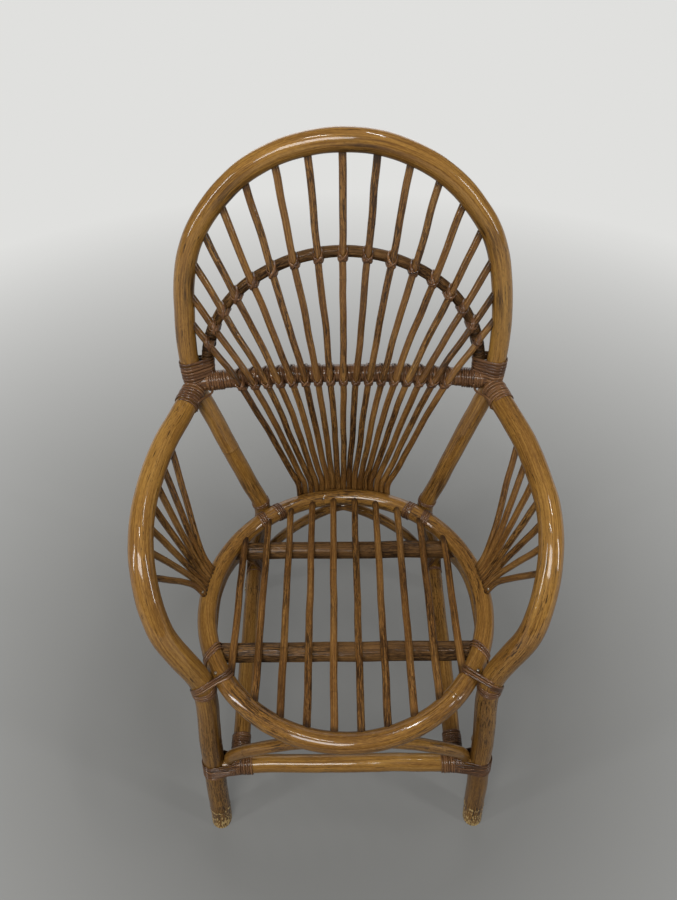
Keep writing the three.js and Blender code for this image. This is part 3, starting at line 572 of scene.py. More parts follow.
def pole_reach(rng, s, angle, radius, nodes, ribs):
    """Uneven radius by row and side, with a swelling and a groove at each growth ring."""
    size = np.ones_like(s)
    for share, wave in THICKNESS_WAVES:
        size += share * ripple(rng, s, wave)
    size *= radius
    for node in nodes:
        gap = s - node
        size += radius * NODE_SWELLING * hill(gap, 0.005) * np.where(gap > 0, 0.35, 1)
        size -= radius * NODE_GROOVE * hill(gap, 0.0008)
    oval = 1 + OVAL_SHARE * np.cos(2 * (angle + rng.random() * math.pi))
    reach = size[:, None] * oval[None]
    if ribs:
        reach += ribs * rib_heights(rng, s, len(angle))
    return reach


def foot_wear(height):
    """Wear of a pole that stands on the ground, with a scuff round its lowest growth ring."""
    wear = np.clip(1.35 - height / FOOT_WEAR_HEIGHT, 0, 1)
    return np.maximum(wear, 0.8 * hill(height - LEG_NODE_HEIGHT, SCUFF_REACH))


def scorch_shade(s, round_about, scorches):
    shade = np.zeros(round_about.shape[:2])
    for place, toward in scorches:
        facing = np.clip(0.3 + 0.7 * round_about @ unit(np.asarray(toward, float)), 0, 1)
        shade = np.maximum(shade, facing * hill(s - place, SCORCH_REACH)[:, None])
    return shade


def close_pole(shape, edge, rim, grain, offset, wear, shade, is_last):
    """A cut end: a bevel from the pole's edge in to a rim, and the face inside the rim."""
    marks = np.broadcast_to((0, wear, 1), rim.shape)
    bevel = np.stack([edge, rim] if is_last else [rim, edge])
    ids = shape.add_grid(bevel, grain, marks, shade)
    shape.close_end(ids[int(is_last)], rim.mean(axis=0), offset, marks[0], shade[0], is_last)


def add_pole(shape, line, diameter, seed, sides=32, spacing=0.005, nodes=None, node_spacing=0.26,
             sway=0.0004, ribs=0.0, cut=BOTH_ENDS, on_ground=NEITHER_END, meeting=(), tone=None,
             scorches=()):
    """A natural pole or cane along a line: uneven thickness, growth rings, cut ends.

    tone: values spread along the pole. scorches: distances, each with the side that is marked.
    """
    rng = np.random.default_rng(seed)
    nodes = growth_nodes(rng, line.length, node_spacing) if nodes is None else nodes
    tone = [rng.uniform(-0.6, 0.6)] if tone is None else tone
    s = pole_rows(line, spacing, nodes, on_ground)
    points = line.at(s)
    heading, side, other = carried_frames(points, (0.31, 0.22, 0.93))
    ease = np.minimum(1, np.minimum(s, line.length - s) / SWAY_EASE)[:, None]
    for way, wave in zip((side, other), SWAY_WAVES):
        points = points + ease * sway * (way * ripple(rng, s, wave)[:, None])
    radius = diameter / 2
    angle = np.arange(sides) * 2 * math.pi / sides
    round_about = np.cos(angle)[:, None] * side[:, None] + np.sin(angle)[:, None] * other[:, None]
    grid = points[:, None] + round_about * pole_reach(rng, s, angle, radius, nodes, ribs)[:, :, None]
    for end in (0, -1):
        if on_ground[end]:
            grid[end] -= heading[end] / heading[end][2] * grid[end][:, 2:3]
    offset = rng.uniform(0, 50, 3)
    grain = stacked(radius * np.cos(angle), radius * np.sin(angle), s[:, None]) + offset
    ring_mark = np.zeros_like(s)
    for node in nodes:
        ring_mark = np.maximum(ring_mark, hill(s - node, NODE_MARK_REACH))
    wear = foot_wear(grid[..., 2]) if any(on_ground) else 0
    marks = stacked(ring_mark[:, None], wear, 0)
    tones = np.interp(s, np.linspace(0, line.length, len(tone)), tone)
    # Painted shade: darker where the pole meets the poles in meeting, standing in for the shade in the joint
    painted_shade = joint_painted_shade(points, meeting)
    shade = stacked(tones[:, None], painted_shade[:, None], scorch_shade(s, round_about, scorches))
    shape.add_grid(grid, grain, marks, shade)
    for end in (0, -1):
        if cut[end]:
            middle = grid[end].mean(axis=0) if on_ground[end] else points[end]
            rim = middle + (grid[end] - middle) * CUT_RIM_SHARE
            if not on_ground[end]:
                rim = rim + heading[end] * (1 if end else -1) * CUT_RISE_SHARE * diameter
            close_pole(shape, grid[end], rim, grain[end], offset, marks[end, 0, 1], shade[end], bool(end))


PEEL_SECTION = np.array([
    (-0.50, 0.20), (-0.45, 0.70), (-0.22, 1.00), (0.22, 1.00),
    (0.45, 0.70), (0.50, 0.20), (0.30, 0.00), (-0.30, 0.00),
])


def add_strip(shape, points, outward, side, width, thickness, rng, closed=False):
    """A flat strip of peel along points; outward is its upper face."""
    x, y = PEEL_SECTION.T
    width = np.broadcast_to(width, len(points))[:, None]
    grid = points[:, None] + side[:, None] * (width * x)[..., None]
    grid = grid + outward[:, None] * (y * thickness)[:, None]
    runs = np.linalg.norm(np.diff(points, axis=0), axis=1)
    distance = np.concatenate([[0], np.cumsum(runs)])
    # The second shade value is painted shade: darker toward the strip's underside and lower edges, where it
    # lies on a pole
    shade = stacked(rng.uniform(-1, 1), np.maximum(0, 1 - y / 0.7)[None], 0)
    offset = rng.uniform(0, 50, 3)
    grain = stacked(width * x, y * thickness, distance[:, None]) + offset
    ids = shape.add_grid(grid, grain, (0, 0, 0), shade, closed)
    if not closed:
        for end, forward in ((0, False), (-1, True)):
            centre = grid[end].mean(axis=0)
            shape.close_end(ids[end], centre, offset, (0, 0, 1), shade[0, 0], forward)


def held_reach(held, axes, angle, width):
    """How far what is held reaches at an angle, over the width of the strip."""
    if isinstance(held, float):
        return held
    origin, across, over, axis = axes
    direction = across * math.cos(angle) + over * math.sin(angle)
    reach = 0.0
    for points, radius in held:
        offset = points - origin
        beside = np.maximum(0, np.abs(offset @ axis) - width / 2)
        near = beside < radius
        if near.any():
            reach = max(reach, (offset[near] @ direction + np.sqrt(radius**2 - beside[near] ** 2)).max())
    return reach


def add_coil(shape, frame_at, held, seed, turns, strip=PEEL_STRIP, steps=30, lift=0.0, dip=0.0):
    """A strip wound round what it holds; held is a radius, or poles as points and radius.

    dip is how far the strip sinks into the valley between two poles.
    """
    rng = np.random.default_rng(seed)
    pitch, width, thickness = strip
    count = round(turns * steps)
    turn = np.linspace(0, turns, count)
    start = rng.random() * 2 * math.pi
    along = (turn - turns / 2) * pitch + 0.07 * pitch * ripple(rng, turn, 1.7)
    sink = np.minimum(1, np.minimum(turn, turns - turn) / 0.15)
    height = lift + thickness * (0.12 * ripple(rng, turn, 2.3) + 0.1) - 0.9 * thickness * (1 - sink)
    points, outward, side = (np.empty((count, 3)) for _ in range(3))
    for i in range(count):
        axes = frame_at(along[i])
        origin, across, over, axis = axes
        angle = start + 2 * math.pi * turn[i]
        normal = across * math.cos(angle) + over * math.sin(angle)
        round_about = over * math.cos(angle) - across * math.sin(angle)
        reach, more, less = (held_reach(held, axes, angle + step, width) for step in (0, 0.02, -0.02))
        points[i] = origin + normal * (reach + height[i]) + round_about * ((more - less) / 0.04)
        from_valley = np.dot(points[i] - origin, across)
        points[i] -= over * np.sign(math.sin(angle)) * dip * math.exp(-(from_valley / 0.007) ** 2)
        outward[i] = normal
        side[i] = -axis
    width = width * (1 + 0.06 * ripple(rng, turn, 3.1))
    add_strip(shape, points, outward, side, width, thickness, rng)


def frame_on(line, s, side=UP):
    """Axes that follow a line, centred at a distance along it."""
    def frame_at(along):
        axis = line.heading(s + along)
        over = unit(np.cross(axis, side))
        return line.at(s + along), np.cross(over, axis), over, axis
    return frame_at


def fixed_frame(origin, across, axis):
    across = unit(across - axis * np.dot(across, axis))
    over = np.cross(axis, across)
    return lambda along: (origin + axis * along, across, over, axis)


def add_tie(shape, cane, cane_s, bar, bar_s, bar_radius, seed):
    """Strips crossed on the front of a cane, each running back beside it and round the bar."""
    rng = np.random.default_rng(seed)
    middle = bar.at(bar_s)
    front = unit(cane.at(cane_s) - middle)
    along = bar.heading(bar_s)
    along = unit(along - front * np.dot(along, front))
    upward = np.cross(front, along)
    run = cane.heading(cane_s)
    lean = np.clip(np.dot(run, along) / np.dot(run, upward), -1, 1)
    radius = FAN_CANE_D * CANE_SWELL / 2
    depth = bar_radius + FAN_CANE_D / 2
    crossings = [(rise, slant) for rise in TIE_RISES for slant in (-1, 1)]
    for k, (rise, slant) in enumerate(crossings):
        leave = math.asin(0.85 * rise / bar_radius)
        half = [(0, depth + radius, 0), (0.72 * radius, depth + 0.72 * radius, 0.45 * rise)]
        half.append((1.05 * radius, depth, 0.75 * rise))
        for share in np.linspace(0, 1, 4):
            angle = leave + (math.pi - leave) * share
            round_bar = bar_radius * math.cos(angle), bar_radius * math.sin(angle)
            half.append((1.05 * radius * (1 - share), *round_bar))
        half = np.array(half)
        loop = np.concatenate([half[:0:-1] * (-1, 1, -1), half])
        x, d, h = (loop * (slant * rng.uniform(0.97, 1.05), 1, rng.uniform(0.92, 1.08))).T
        x = x + lean * h * np.clip((d + bar_radius) / (depth + bar_radius), 0, 1)
        d = d + 0.35 * k * TIE_THICKNESS * (d > depth)
        line = spline(middle + along * x[:, None] + front * d[:, None] + upward * h[:, None])
        points = line.at(np.linspace(0, line.length, TIE_STEPS, endpoint=False))
        heading = unit(np.roll(points, -1, axis=0) - np.roll(points, 1, axis=0))
        in_depth = np.clip((points - middle) @ front, 0, depth)[:, None]
        outward = points - middle - front * in_depth
        outward -= upward * (outward @ upward)[:, None] * 0.6 * in_depth / depth
        outward = unit(outward - heading * (outward * heading).sum(axis=1, keepdims=True))
        add_strip(shape, points, outward, np.cross(heading, outward), TIE_WIDTH, TIE_THICKNESS, rng, True)


def add_band(shape, line, s, radius, seed, turns, slant):
    """Turns round a level pole that cross it at a slant."""
    heading = line.heading(s)
    axis = unit(heading + slant * unit(np.cross(heading, UP)))
    add_coil(shape, fixed_frame(line.at(s), UP, axis), [(line.stretch(s), radius)], seed, turns, steps=40)


def add_strand(shape, points, outward, width, thickness, seed):
    """A loose strip through points."""
    line = spline(points)
    s = np.linspace(0, line.length, 24)
    heading = line.heading(s)
    outward = unit(np.asarray(outward) - heading * (heading @ np.asarray(outward))[:, None])
    rng = np.random.default_rng(seed)
    add_strip(shape, line.at(s), outward, np.cross(heading, outward), width, thickness, rng)


def add_nail(shape, middle, lift, outward, radius=NAIL_RADIUS):
    """A domed nail head on a pole."""
    outward = unit(np.asarray(outward, float))
    place = middle + outward * lift
    side = unit(np.cross(outward, (0.3, 0.5, 0.8)))
    other = np.cross(outward, side)
    angle = np.arange(NAIL_SIDES) * 2 * math.pi / NAIL_SIDES
    round_about = np.cos(angle)[:, None] * side + np.sin(angle)[:, None] * other
    profile = [(1.0, -0.6), (1.0, 0.1), (0.93, 0.3), (0.7, 0.52), (0.38, 0.64)]
    grid = np.stack([place + round_about * radius * r + outward * radius * h for r, h in profile])
    ids = shape.add_grid(grid, grid, (0, 0, 0), (0, 0, 0))
    shape.close_end(ids[-1], place + outward * radius * 0.68, place, (0, 0, 0), (0, 0, 0), True)


# Finishes

def srgb(code):
    parts = [(code >> shift & 255) / 255 for shift in (16, 8, 0)]
    return (*(p / 12.92 if p <= 0.04045 else ((p + 0.055) / 1.055) ** 2.4 for p in parts), 1)


class Finish:
    """A material made node by node."""

    def __init__(self, name):
        self.material = bpy.data.materials.new(name)
        self.material.use_nodes = True
        self.tree = self.material.node_tree
        self.tree.nodes.clear()

    def add(self, kind, values=None, **settings):
        node = self.tree.nodes.new("ShaderNode" + kind)
        for key, value in settings.items():
            setattr(node, key, value)
        for key, value in (values or {}).items():
            if isinstance(value, bpy.types.NodeSocket):
                self.tree.links.new(value, node.inputs[key])
            else:
                node.inputs[key].default_value = value
        return node

    def data(self, name):
        return self.add("Attribute", attribute_name=name).outputs["Vector"]

    def split(self, vector):
        return self.add("SeparateXYZ", {0: vector}).outputs

    def maths(self, operation, a, b=0.0):
        return self.add("Math", {0: a, 1: b}, operation=operation).outputs[0]

    def times(self, a, b):
        return self.maths("MULTIPLY", a, b)

    def spread(self, value, low, high, to_low=0.0, to_high=1.0):
        values = {"Value": value, "From Min": low, "From Max": high, "To Min": to_low, "To Max": to_high}
        return self.add("MapRange", values).outputs[0]

    def noise(self, vector, scale, stretch=1.0, detail=3.0, warp=0.0):
        scaled = self.add("VectorMath", {0: vector, 1: (1, 1, stretch)}, operation="MULTIPLY").outputs[0]
        values = {"Vector": scaled, "Scale": scale, "Detail": detail, "Distortion": warp}
        return self.add("TexNoise", values).outputs["Fac"]

    def mix(self, share, a, b, blend="MIX"):
        node = self.add("Mix", {0: share, 6: a, 7: b}, data_type="RGBA", blend_type=blend)
        return node.outputs[2]

    def cover(self, colour, mask, share, top):
        return self.mix(self.times(mask, share), colour, top)

    def surface(self, values):
        shader = self.add("BsdfPrincipled", values)
        self.add("OutputMaterial", {"Surface": shader.outputs[0]})
        return self.material


def rattan(name, colours, fleck_level, roughness, coat, relief):
    """Varnished rattan: fibres and streaks along the pole, dark dashes, growth rings, worn ends."""
    f = Finish(name)
    pale, body, dark, fleck = (srgb(code) for code in colours)
    grain = f.data("grain")
    ring_mark, wear, cut = f.split(f.data("marks"))
    tone, painted_shade, scorch = f.split(f.data("shade"))
    fibre = f.noise(grain, 1300, 0.012, 2)
    grit = f.noise(grain, 1100, 0.13, 3)
    streak = f.noise(grain, 520, 0.02, 4, 0.3)
    patch = f.noise(grain, 19, 0.3, 3)
    cleaner = f.times(tone, 0.06)
    long_dashes = f.maths("SUBTRACT", f.noise(grain, 480, 0.09, 4, 0.4), cleaner)
    long_dashes = f.spread(long_dashes, fleck_level, fleck_level + 0.05)
    short_dashes = f.maths("SUBTRACT", f.noise(grain, 1000, 0.15, 3), cleaner)
    short_dashes = f.spread(short_dashes, fleck_level + 0.02, fleck_level + 0.08, 0.0, 0.85)
    crowd = f.spread(f.noise(grain, 21, 0.3, 2), 0.40, 0.58, 0.12, 1.0)
    flecks = f.times(f.maths("MAXIMUM", long_dashes, short_dashes), crowd)
    level = f.maths("ADD", f.spread(streak, 0.32, 0.68, 0.0, 0.5), f.spread(patch, 0.3, 0.7, 0.1, 0.45))
    # The tone also sets brightness. Its dark ends low on the hoop and arms are partly painted shade.
    level = f.maths("ADD", level, f.times(tone, 0.1))
    colour = f.mix(f.spread(level, 0.1, 0.55), dark, body)
    colour = f.mix(f.spread(level, 0.5, 1.0), colour, pale)
    colour = f.mix(f.spread(fibre, 0.3, 0.7, 0.0, 0.24), colour, dark)
    colour = f.mix(f.spread(grit, 0.5, 0.3, 0.0, 0.4), colour, dark)
    colour = f.mix(f.spread(grit, 0.52, 0.72, 0.0, 0.4), colour, pale)
    colour = f.cover(colour, flecks, 0.85, fleck)
    colour = f.cover(colour, ring_mark, 0.3, fleck)
    burnt = f.times(scorch, f.spread(f.noise(grain, 260, 0.1, 4), 0.40, 0.58))
    colour = f.cover(colour, burnt, 0.85, fleck)
    chips = f.maths("ADD", f.noise(grain, 430, 0.3, 4), f.times(wear, 0.12))
    worn = f.times(f.spread(wear, 0.0, 0.2), f.spread(chips, 0.60, 0.65))
    colour = f.cover(colour, worn, 0.9, srgb(0xC2A772))
    pores = f.spread(f.noise(grain, 1500, 1, 2), 0.45, 0.6)
    colour = f.cover(colour, cut, 0.8, f.mix(pores, srgb(0x5A4022), srgb(0xA68550)))
    # Painted shade: darkens the colour where a pole meets others and along the undersides of peel strips
    colour = f.cover(colour, painted_shade, 0.72, srgb(0x1E120A))
    rough = f.spread(fibre, 0.3, 0.7, roughness - 0.05, roughness + 0.09)
    rough = f.maths("ADD", rough, f.times(f.maths("MAXIMUM", flecks, grit), 0.15))
    rough = f.maths("ADD", rough, f.times(f.maths("MAXIMUM", worn, cut), 0.35))
    height = f.maths("ADD", f.times(fibre, 0.5), f.times(streak, 0.6))
    height = f.maths("SUBTRACT", height, f.times(flecks, 0.5))
    bump = f.add("Bump", {"Strength": relief, "Distance": 0.0006, "Height": height}).outputs[0]
    return f.surface({
        "Base Color": colour, "Roughness": rough, "Normal": bump, "IOR": 1.45, "Specular IOR Level": 0.1,
        "Coat Weight": f.spread(f.maths("MAXIMUM", worn, cut), 0, 1, coat, 0),
        "Coat Roughness": 0.09, "Coat IOR": 1.5,
    })


POLE = rattan("pole_rattan", (0xA47C3C, 0x805A27, 0x503313, 0x241408), 0.585, 0.38, 0.6, 0.3)
CANE = rattan("cane_rattan", (0x9E7842, 0x744F26, 0x42270D, 0x1A0D04), 0.53, 0.38, 0.45, 0.45)
CORE = rattan("core_rattan", (0x866238, 0x624628, 0x33200F, 0x180D05), 0.52, 0.52, 0.10, 0.6)
PEEL = rattan("peel_strip", (0x8C6540, 0x5E4029, 0x352013, 0x1C1008), 0.60, 0.36, 0.48, 0.5)


def nail_finish():
    f = Finish("nail_metal")
    grain = f.data("grain")
    spots = f.spread(f.noise(grain, 900, 1, 3), 0.4, 0.65)
    colour = f.mix(spots, srgb(0xB9B2A4), srgb(0x6A5A48))
    return f.surface({"Base Color": colour, "Metallic": 1.0, "Roughness": f.spread(spots, 0, 1, 0.25, 0.6)})


NAIL = nail_finish()

# Poles

def one_pole(name, slot, material, node, line, diameter, seed, **looks):
    """A piece made of one pole."""
    shape = Shape()
    add_pole(shape, line, diameter, seed, **looks)
    shape.make(name, slot, material, node)


ring_nodes = [ring_distance(a) for a in RING_NODE_ANGLES]
one_pole("ring_pole", "pole", POLE, "seat_ring", ring_line, RING_D, 11, sides=40, nodes=ring_nodes, sway=0,
         tone=RING_TONE, cut=NEITHER_END)

scorches = []
for angle in HOOP_SCORCHES:
    mark = hoop_point(angle)
    middle = np.array([0, mark[1] - SCORCH_FORWARD, spring_height])
    scorches.append((hoop_line.s[np.linalg.norm(hoop_line.p - mark, axis=1).argmin()], middle - mark))
scorch_s = hoop_line.rising(SEAT_HEIGHT + POST_SCORCH_RISE)
scorches += [(s, (0, -1, 0.4)) for s in (scorch_s, hoop_line.length - scorch_s)]
hoop_nodes = [hoop_line.rising(LEG_NODE_HEIGHT)]
hoop_nodes.append(hoop_line.length - hoop_line.rising(SEAT_HEIGHT + POST_NODE_RISE))
one_pole("hoop_pole", "pole", POLE, "back_hoop", hoop_line, HOOP_D, 12, sides=40, nodes=hoop_nodes,
         tone=HOOP_TONE_AND_SHADE, scorches=scorches, on_ground=BOTH_ENDS)

for name, sign in SIDES.items():
    line = arm_lines[sign]
    one_pole("arm_pole_" + name, "pole", POLE, "arm_and_front_leg_" + name, line, ARM_D, 13 + sign, sides=40,
             nodes=[line.rising(LEG_NODE_HEIGHT)], tone=ARM_TONE_AND_SHADE, on_ground=FIRST_END)

one_pole("front_stretcher_pole", "pole", POLE, "front_stretcher", front_stretcher_line, STRETCHER_D, 21,
         tone=[0.9], nodes=[], cut=NEITHER_END)
for name, sign in SIDES.items():
    one_pole("side_stretcher_pole_" + name, "pole", POLE, "side_stretcher_" + name,
             side_stretcher_lines[sign], STRETCHER_D, 23 + sign, tone=[0.1, -0.5], cut=NEITHER_END)
for k, (name, line) in enumerate(leg_arch_lines.items()):
    one_pole(name + "_pole", "pole", POLE, name, line, LEG_ARCH_D, 30 + k, sides=28, tone=[-0.5],
             meeting=[at_ring])

# Seat

slat_height = SEAT_HEIGHT + SLAT_RISE
bearer_height = slat_height - SLAT_D / 2 - BEARER_D / 2 - CLEARANCE
for k, (name, depth) in enumerate(BEARER_DEPTHS.items()):
    half = math.sqrt(SEAT_RADIUS**2 - depth**2)
    line = Line([(-half, depth, bearer_height), (half, depth, bearer_height)])
    one_pole("bearer_" + name, "core", CORE, "seat_bearer_" + name, line, BEARER_D, 40 + k, sides=120,
             spacing=0.008, ribs=0.0007, nodes=[], tone=[-0.2], meeting=[at_ring])

slat_half_span = SEAT_RADIUS - SLAT_EDGE_INSET
for i, x in enumerate(np.linspace(-slat_half_span, slat_half_span, SLAT_COUNT)):
    half = math.sqrt(SEAT_RADIUS**2 - x**2)
    line = Line([(x, -half, slat_height), (x, half, slat_height)])
    one_pole(f"slat_{i + 1:02d}", "cane", CANE, f"seat_slat_{i + 1:02d}", line, SLAT_D * CANE_SWELL, 50 + i,
             sides=18, node_spacing=0.21, tone=[-0.5], cut=NEITHER_END, meeting=[at_ring])

# Back

shape = Shape()
add_pole(shape, crossbar_line, CROSSBAR_D - 2 * WRAP_THICKNESS, 70, cut=NEITHER_END, nodes=[])
wrap_turns = (crossbar_line.length - HOOP_D) / WRAP_PITCH
bar_middle = frame_on(crossbar_line, crossbar_line.length / 2)
add_coil(shape, bar_middle, CROSSBAR_D / 2 - WRAP_THICKNESS, 71, wrap_turns, WRAP_STRIP)
shape.make("wound_crossbar", "core", PEEL, "back_crossbar")

shape = Shape()
add_pole(shape, back_arch_line, BACK_ARCH_D, 72, sides=64, ribs=0.0003, node_spacing=0.2, tone=[-0.1])
for s in (INNER_ARCH_WRAP_IN, back_arch_line.length - INNER_ARCH_WRAP_IN):
    arch_frame = frame_on(back_arch_line, s, FRONTWARD)
    add_coil(shape, arch_frame, BACK_ARCH_D / 2, 73, turns=13, strip=WRAP_STRIP)
shape.make("inner_arch", "core", CORE, "back_arch")

ties = Shape()
for i in range(FAN_COUNT):
    line, bar, crossing = fan_cane(i)
    one_pole(f"back_cane_{i + 1:02d}", "cane", CANE, f"fan_cane_{i + 1:02d}", line, FAN_CANE_D * CANE_SWELL,
             80 + i, sides=18, node_spacing=0.32, sway=0.0006,
             meeting=[(hoop_line, HOOP_D / 2), at_ring])
    cane_s, bar_s = line.where(2, crossbar_height), crossbar_line.where(0, bar[0])
    add_tie(ties, line, cane_s, crossbar_line, bar_s, CROSSBAR_D / 2 + CLEARANCE, 200 + 4 * i)
    cane_s, arch_s = line.where(2, crossing[2]), back_arch_line.where(0, crossing[0])
    add_tie(ties, line, cane_s, back_arch_line, arch_s, BACK_ARCH_D / 2, 202 + 4 * i)
ties.make("fan_ties", "peel", PEEL)

# Arm fans

for name, sign in SIDES.items():
    shape = Shape()
    meeting = [at_ring, (arm_lines[sign], ARM_D / 2)]
    for i in range(ARM_CANE_COUNT):
        add_pole(shape, arm_cane(sign, i), ARM_CANE_D * CANE_SWELL, 120 + 10 * sign + i, sides=18,
                 node_spacing=0.25, sway=0.0005, meeting=meeting)
    shape.make("arm_canes_" + name, "cane", CANE, "arm_fan_" + name)

# Bindings

def on_hoop(height, sign):
    """Distance along the hoop at which one of its posts has a height."""
    s = hoop_line.rising(height)
    return s if sign > 0 else hoop_line.length - s


def arm_end_binding(shape, sign, seed):
    """Turns round the arm's rear end, with a loose strand from the cross bar down beside the arm."""
    line = arm_lines[sign]
    arm_s = line.length - ARM_WRAP_BACK
    add_coil(shape, frame_on(line, arm_s), ARM_D / 2, seed, turns=6.4, strip=JOINT_STRIP)
    half_bar = crossbar_line.length / 2
    bar_low = crossbar_line.at(half_bar + sign * (half_bar - BAR_STRAND_IN))
    arm_inner = line.at(arm_s - ARM_STRAND_BACK)
    strand = [
        bar_low + (0, -0.6 * CROSSBAR_D, 0.002),
        bar_low + (sign * 0.004, -0.56 * CROSSBAR_D, -0.012),
        arm_inner + (-sign * 0.53 * ARM_D, 0, 0.004),
        arm_inner + (-sign * 0.45 * ARM_D, -0.004, -0.010),
    ]
    add_strand(shape, strand, (-sign * 0.5, -1, 0.2), PEEL_WIDTH * 1.2, PEEL_THICKNESS, seed + 20)


def bar_end_binding(shape, sign, seed):
    half_bar = crossbar_line.length / 2
    bar_s = half_bar + sign * (half_bar - HOOP_D / 2 - BAR_WRAP_IN)
    add_coil(shape, frame_on(crossbar_line, bar_s), CROSSBAR_D / 2, seed + 1, turns=8)


def hoop_foot_binding(shape, sign, seed):
    """Turns that hold the foot of the inner arch to the hoop."""
    hoop_s = on_hoop(arch_foot_height + HOOP_WRAP_RISE, sign)
    arch_s = back_arch_line.length - HOOP_WRAP_RISE if sign > 0 else HOOP_WRAP_RISE
    held = [(hoop_line.stretch(hoop_s), HOOP_D / 2), (back_arch_line.stretch(arch_s), BACK_ARCH_D / 2)]
    hoop_frame = frame_on(hoop_line, hoop_s, FRONTWARD)
    add_coil(shape, hoop_frame, held, seed + 2, turns=7.2, strip=JOINT_STRIP, steps=40)


def post_bands(shape, sign, seed):
    """Bands round the ring on both sides of a rear post, and a strap round the post."""
    post_angle = math.pi / 2 - sign * POST_ANGLE
    for k in (-1, 1):
        band_s = ring_distance(post_angle) + k * POST_BAND_OFFSET
        add_band(shape, ring_line, band_s, RING_D / 2, seed + 4 + k, turns=4, slant=0.12 * k)
    strap_s = on_hoop(SEAT_HEIGHT + RING_D / 2 - POST_STRAP_DROP, sign)
    strap_frame = frame_on(hoop_line, strap_s, FRONTWARD)
    add_coil(shape, strap_frame, HOOP_D / 2, seed + 6, turns=2.5)


def arm_lashing(shape, sign, seed):
    """A diagonal lashing round the ring and the arm, with a band round each beside it."""
    line = arm_lines[sign]
    touch_s = line.rising(SEAT_HEIGHT)
    touch = line.at(touch_s)
    across = unit(touch * (1, 1, 0))
    over = unit(-sign * np.cross(UP, across) + line.heading(touch_s))
    axis = np.cross(across, unit(over - across * np.dot(over, across)))
    middle = across * (SEAT_RADIUS + RING_D / 2) + UP * SEAT_HEIGHT
    angle = math.atan2(touch[1], touch[0])
    held = [(ring_line.stretch(ring_distance(angle)), RING_D / 2), (line.stretch(touch_s), ARM_D / 2)]
    lashing_frame = fixed_frame(middle, across, axis)
    add_coil(shape, lashing_frame, held, seed + 8, turns=3, steps=60, dip=0.006)
    band_s = ring_distance(angle + sign * ARM_BAND_OFFSET / SEAT_RADIUS)
    add_band(shape, ring_line, band_s, RING_D / 2, seed + 9, turns=3, slant=sign * 0.5)
    leg_frame = frame_on(line, touch_s - LEG_BAND_DROP, FRONTWARD)
    add_coil(shape, leg_frame, ARM_D / 2, seed + 14, turns=3.5)


def front_joint_binding(shape, sign, seed):
    """Turns round a front leg and the stretcher's end together, and round the stretcher beside them."""
    line = arm_lines[sign]
    leg_s = line.rising(STRETCHER_HEIGHT)
    end = front_stretcher_line.length if sign > 0 else 0
    stretcher_end = front_stretcher_line.stretch(end, FRONT_HELD_REACH)
    held = [(line.stretch(leg_s), ARM_D / 2), (stretcher_end, STRETCHER_D / 2)]
    add_coil(shape, frame_on(line, leg_s, (1, 0, 0)), held, seed + 10, turns=9, steps=44)
    wrap_frame = frame_on(front_stretcher_line, end - sign * FRONT_WRAP_IN)
    add_coil(shape, wrap_frame, STRETCHER_D / 2, seed + 11, turns=10, lift=0.0008)


def side_joint_binding(shape, sign, seed):
    wrap_frame = frame_on(side_stretcher_lines[sign], STRETCHER_D / 2 + SIDE_WRAP_IN)
    add_coil(shape, wrap_frame, STRETCHER_D / 2, seed + 12, turns=8)


def rear_joint_binding(shape, sign, seed):
    """Turns round a side stretcher's rear end and the foot of the side arch."""
    line = side_stretcher_lines[sign]
    rear_s = line.length - rear_foot_reach
    arch_line = side_arch(sign)
    foot = arch_line.stretch(arch_line.length, ARCH_FOOT_HELD)
    held = [(line.stretch(rear_s), STRETCHER_D / 2), (foot, LEG_ARCH_D / 2)]
    add_coil(shape, frame_on(line, rear_s), held, seed + 13, turns=11)


BINDINGS = [
    (arm_end_binding, "arm_end_binding_", "arm_binding_"),
    (bar_end_binding, "bar_end_binding_", "crossbar_binding_"),
    (hoop_foot_binding, "hoop_foot_binding_", "hoop_binding_"),
    (post_bands, "post_bands_", "post_lashing_"),
    (arm_lashing, "arm_lashing_peel_", "arm_lashing_"),
    (front_joint_binding, "front_joint_binding_", "front_stretcher_binding_"),
    (side_joint_binding, "side_joint_binding_", "side_stretcher_binding_"),
    (rear_joint_binding, "rear_joint_binding_", "rear_leg_binding_"),
]
for name, sign in SIDES.items():
    for bind, piece, node in BINDINGS:
        shape = Shape()
        bind(shape, sign, 300 + 40 * sign)
        shape.make(piece + name, "peel", PEEL, node + name)

# Nails

nails = Shape()
ring_lift = RING_D / 2 + PEEL_THICKNESS
for name, sign in SIDES.items():
    for offset, lean in POST_NAILS:
        angle = math.pi / 2 - sign * (POST_ANGLE - offset / SEAT_RADIUS)
        outward = UP * lean - ring_point(angle, 1, 0)
        add_nail(nails, ring_point(angle), ring_lift, outward)
    angle = ARM_ANGLE if sign > 0 else math.pi - ARM_ANGLE
    outward = UP + ring_point(angle, 0.6, 0)
    add_nail(nails, ring_point(angle), ring_lift, outward)
    foot = arm_cane(sign, ARM_CANE_COUNT - 1).at(FAN_NAIL_RISE)
    add_nail(nails, foot, ARM_CANE_D / 2, (-sign, -1, 1))
nails.make("nails", "peel", NAIL)

# Camera

camera = bpy.data.objects.new("camera", bpy.data.cameras.new("camera"))
camera.data.lens = CAMERA_LENS
ahead = Vector((0, math.cos(CAMERA_PITCH), -math.sin(CAMERA_PITCH)))
level = Vector((1, 0, 0))
above = level.cross(ahead)
right = level * math.cos(CAMERA_ROLL) - above * math.sin(CAMERA_ROLL)
above = right.cross(ahead)
axes = Matrix((right, above, -ahead)).transposed().to_4x4()
place = Vector(CAMERA_PLACE) + Vector((0, SEAT_Y, 0))
camera.matrix_world = Matrix.Translation(place) @ axes
scene.collection.objects.link(camera)
scene.camera = camera


# Lamps

WARM = (1.0, 0.98, 0.94)
COOL = (0.98, 0.99, 1.0)


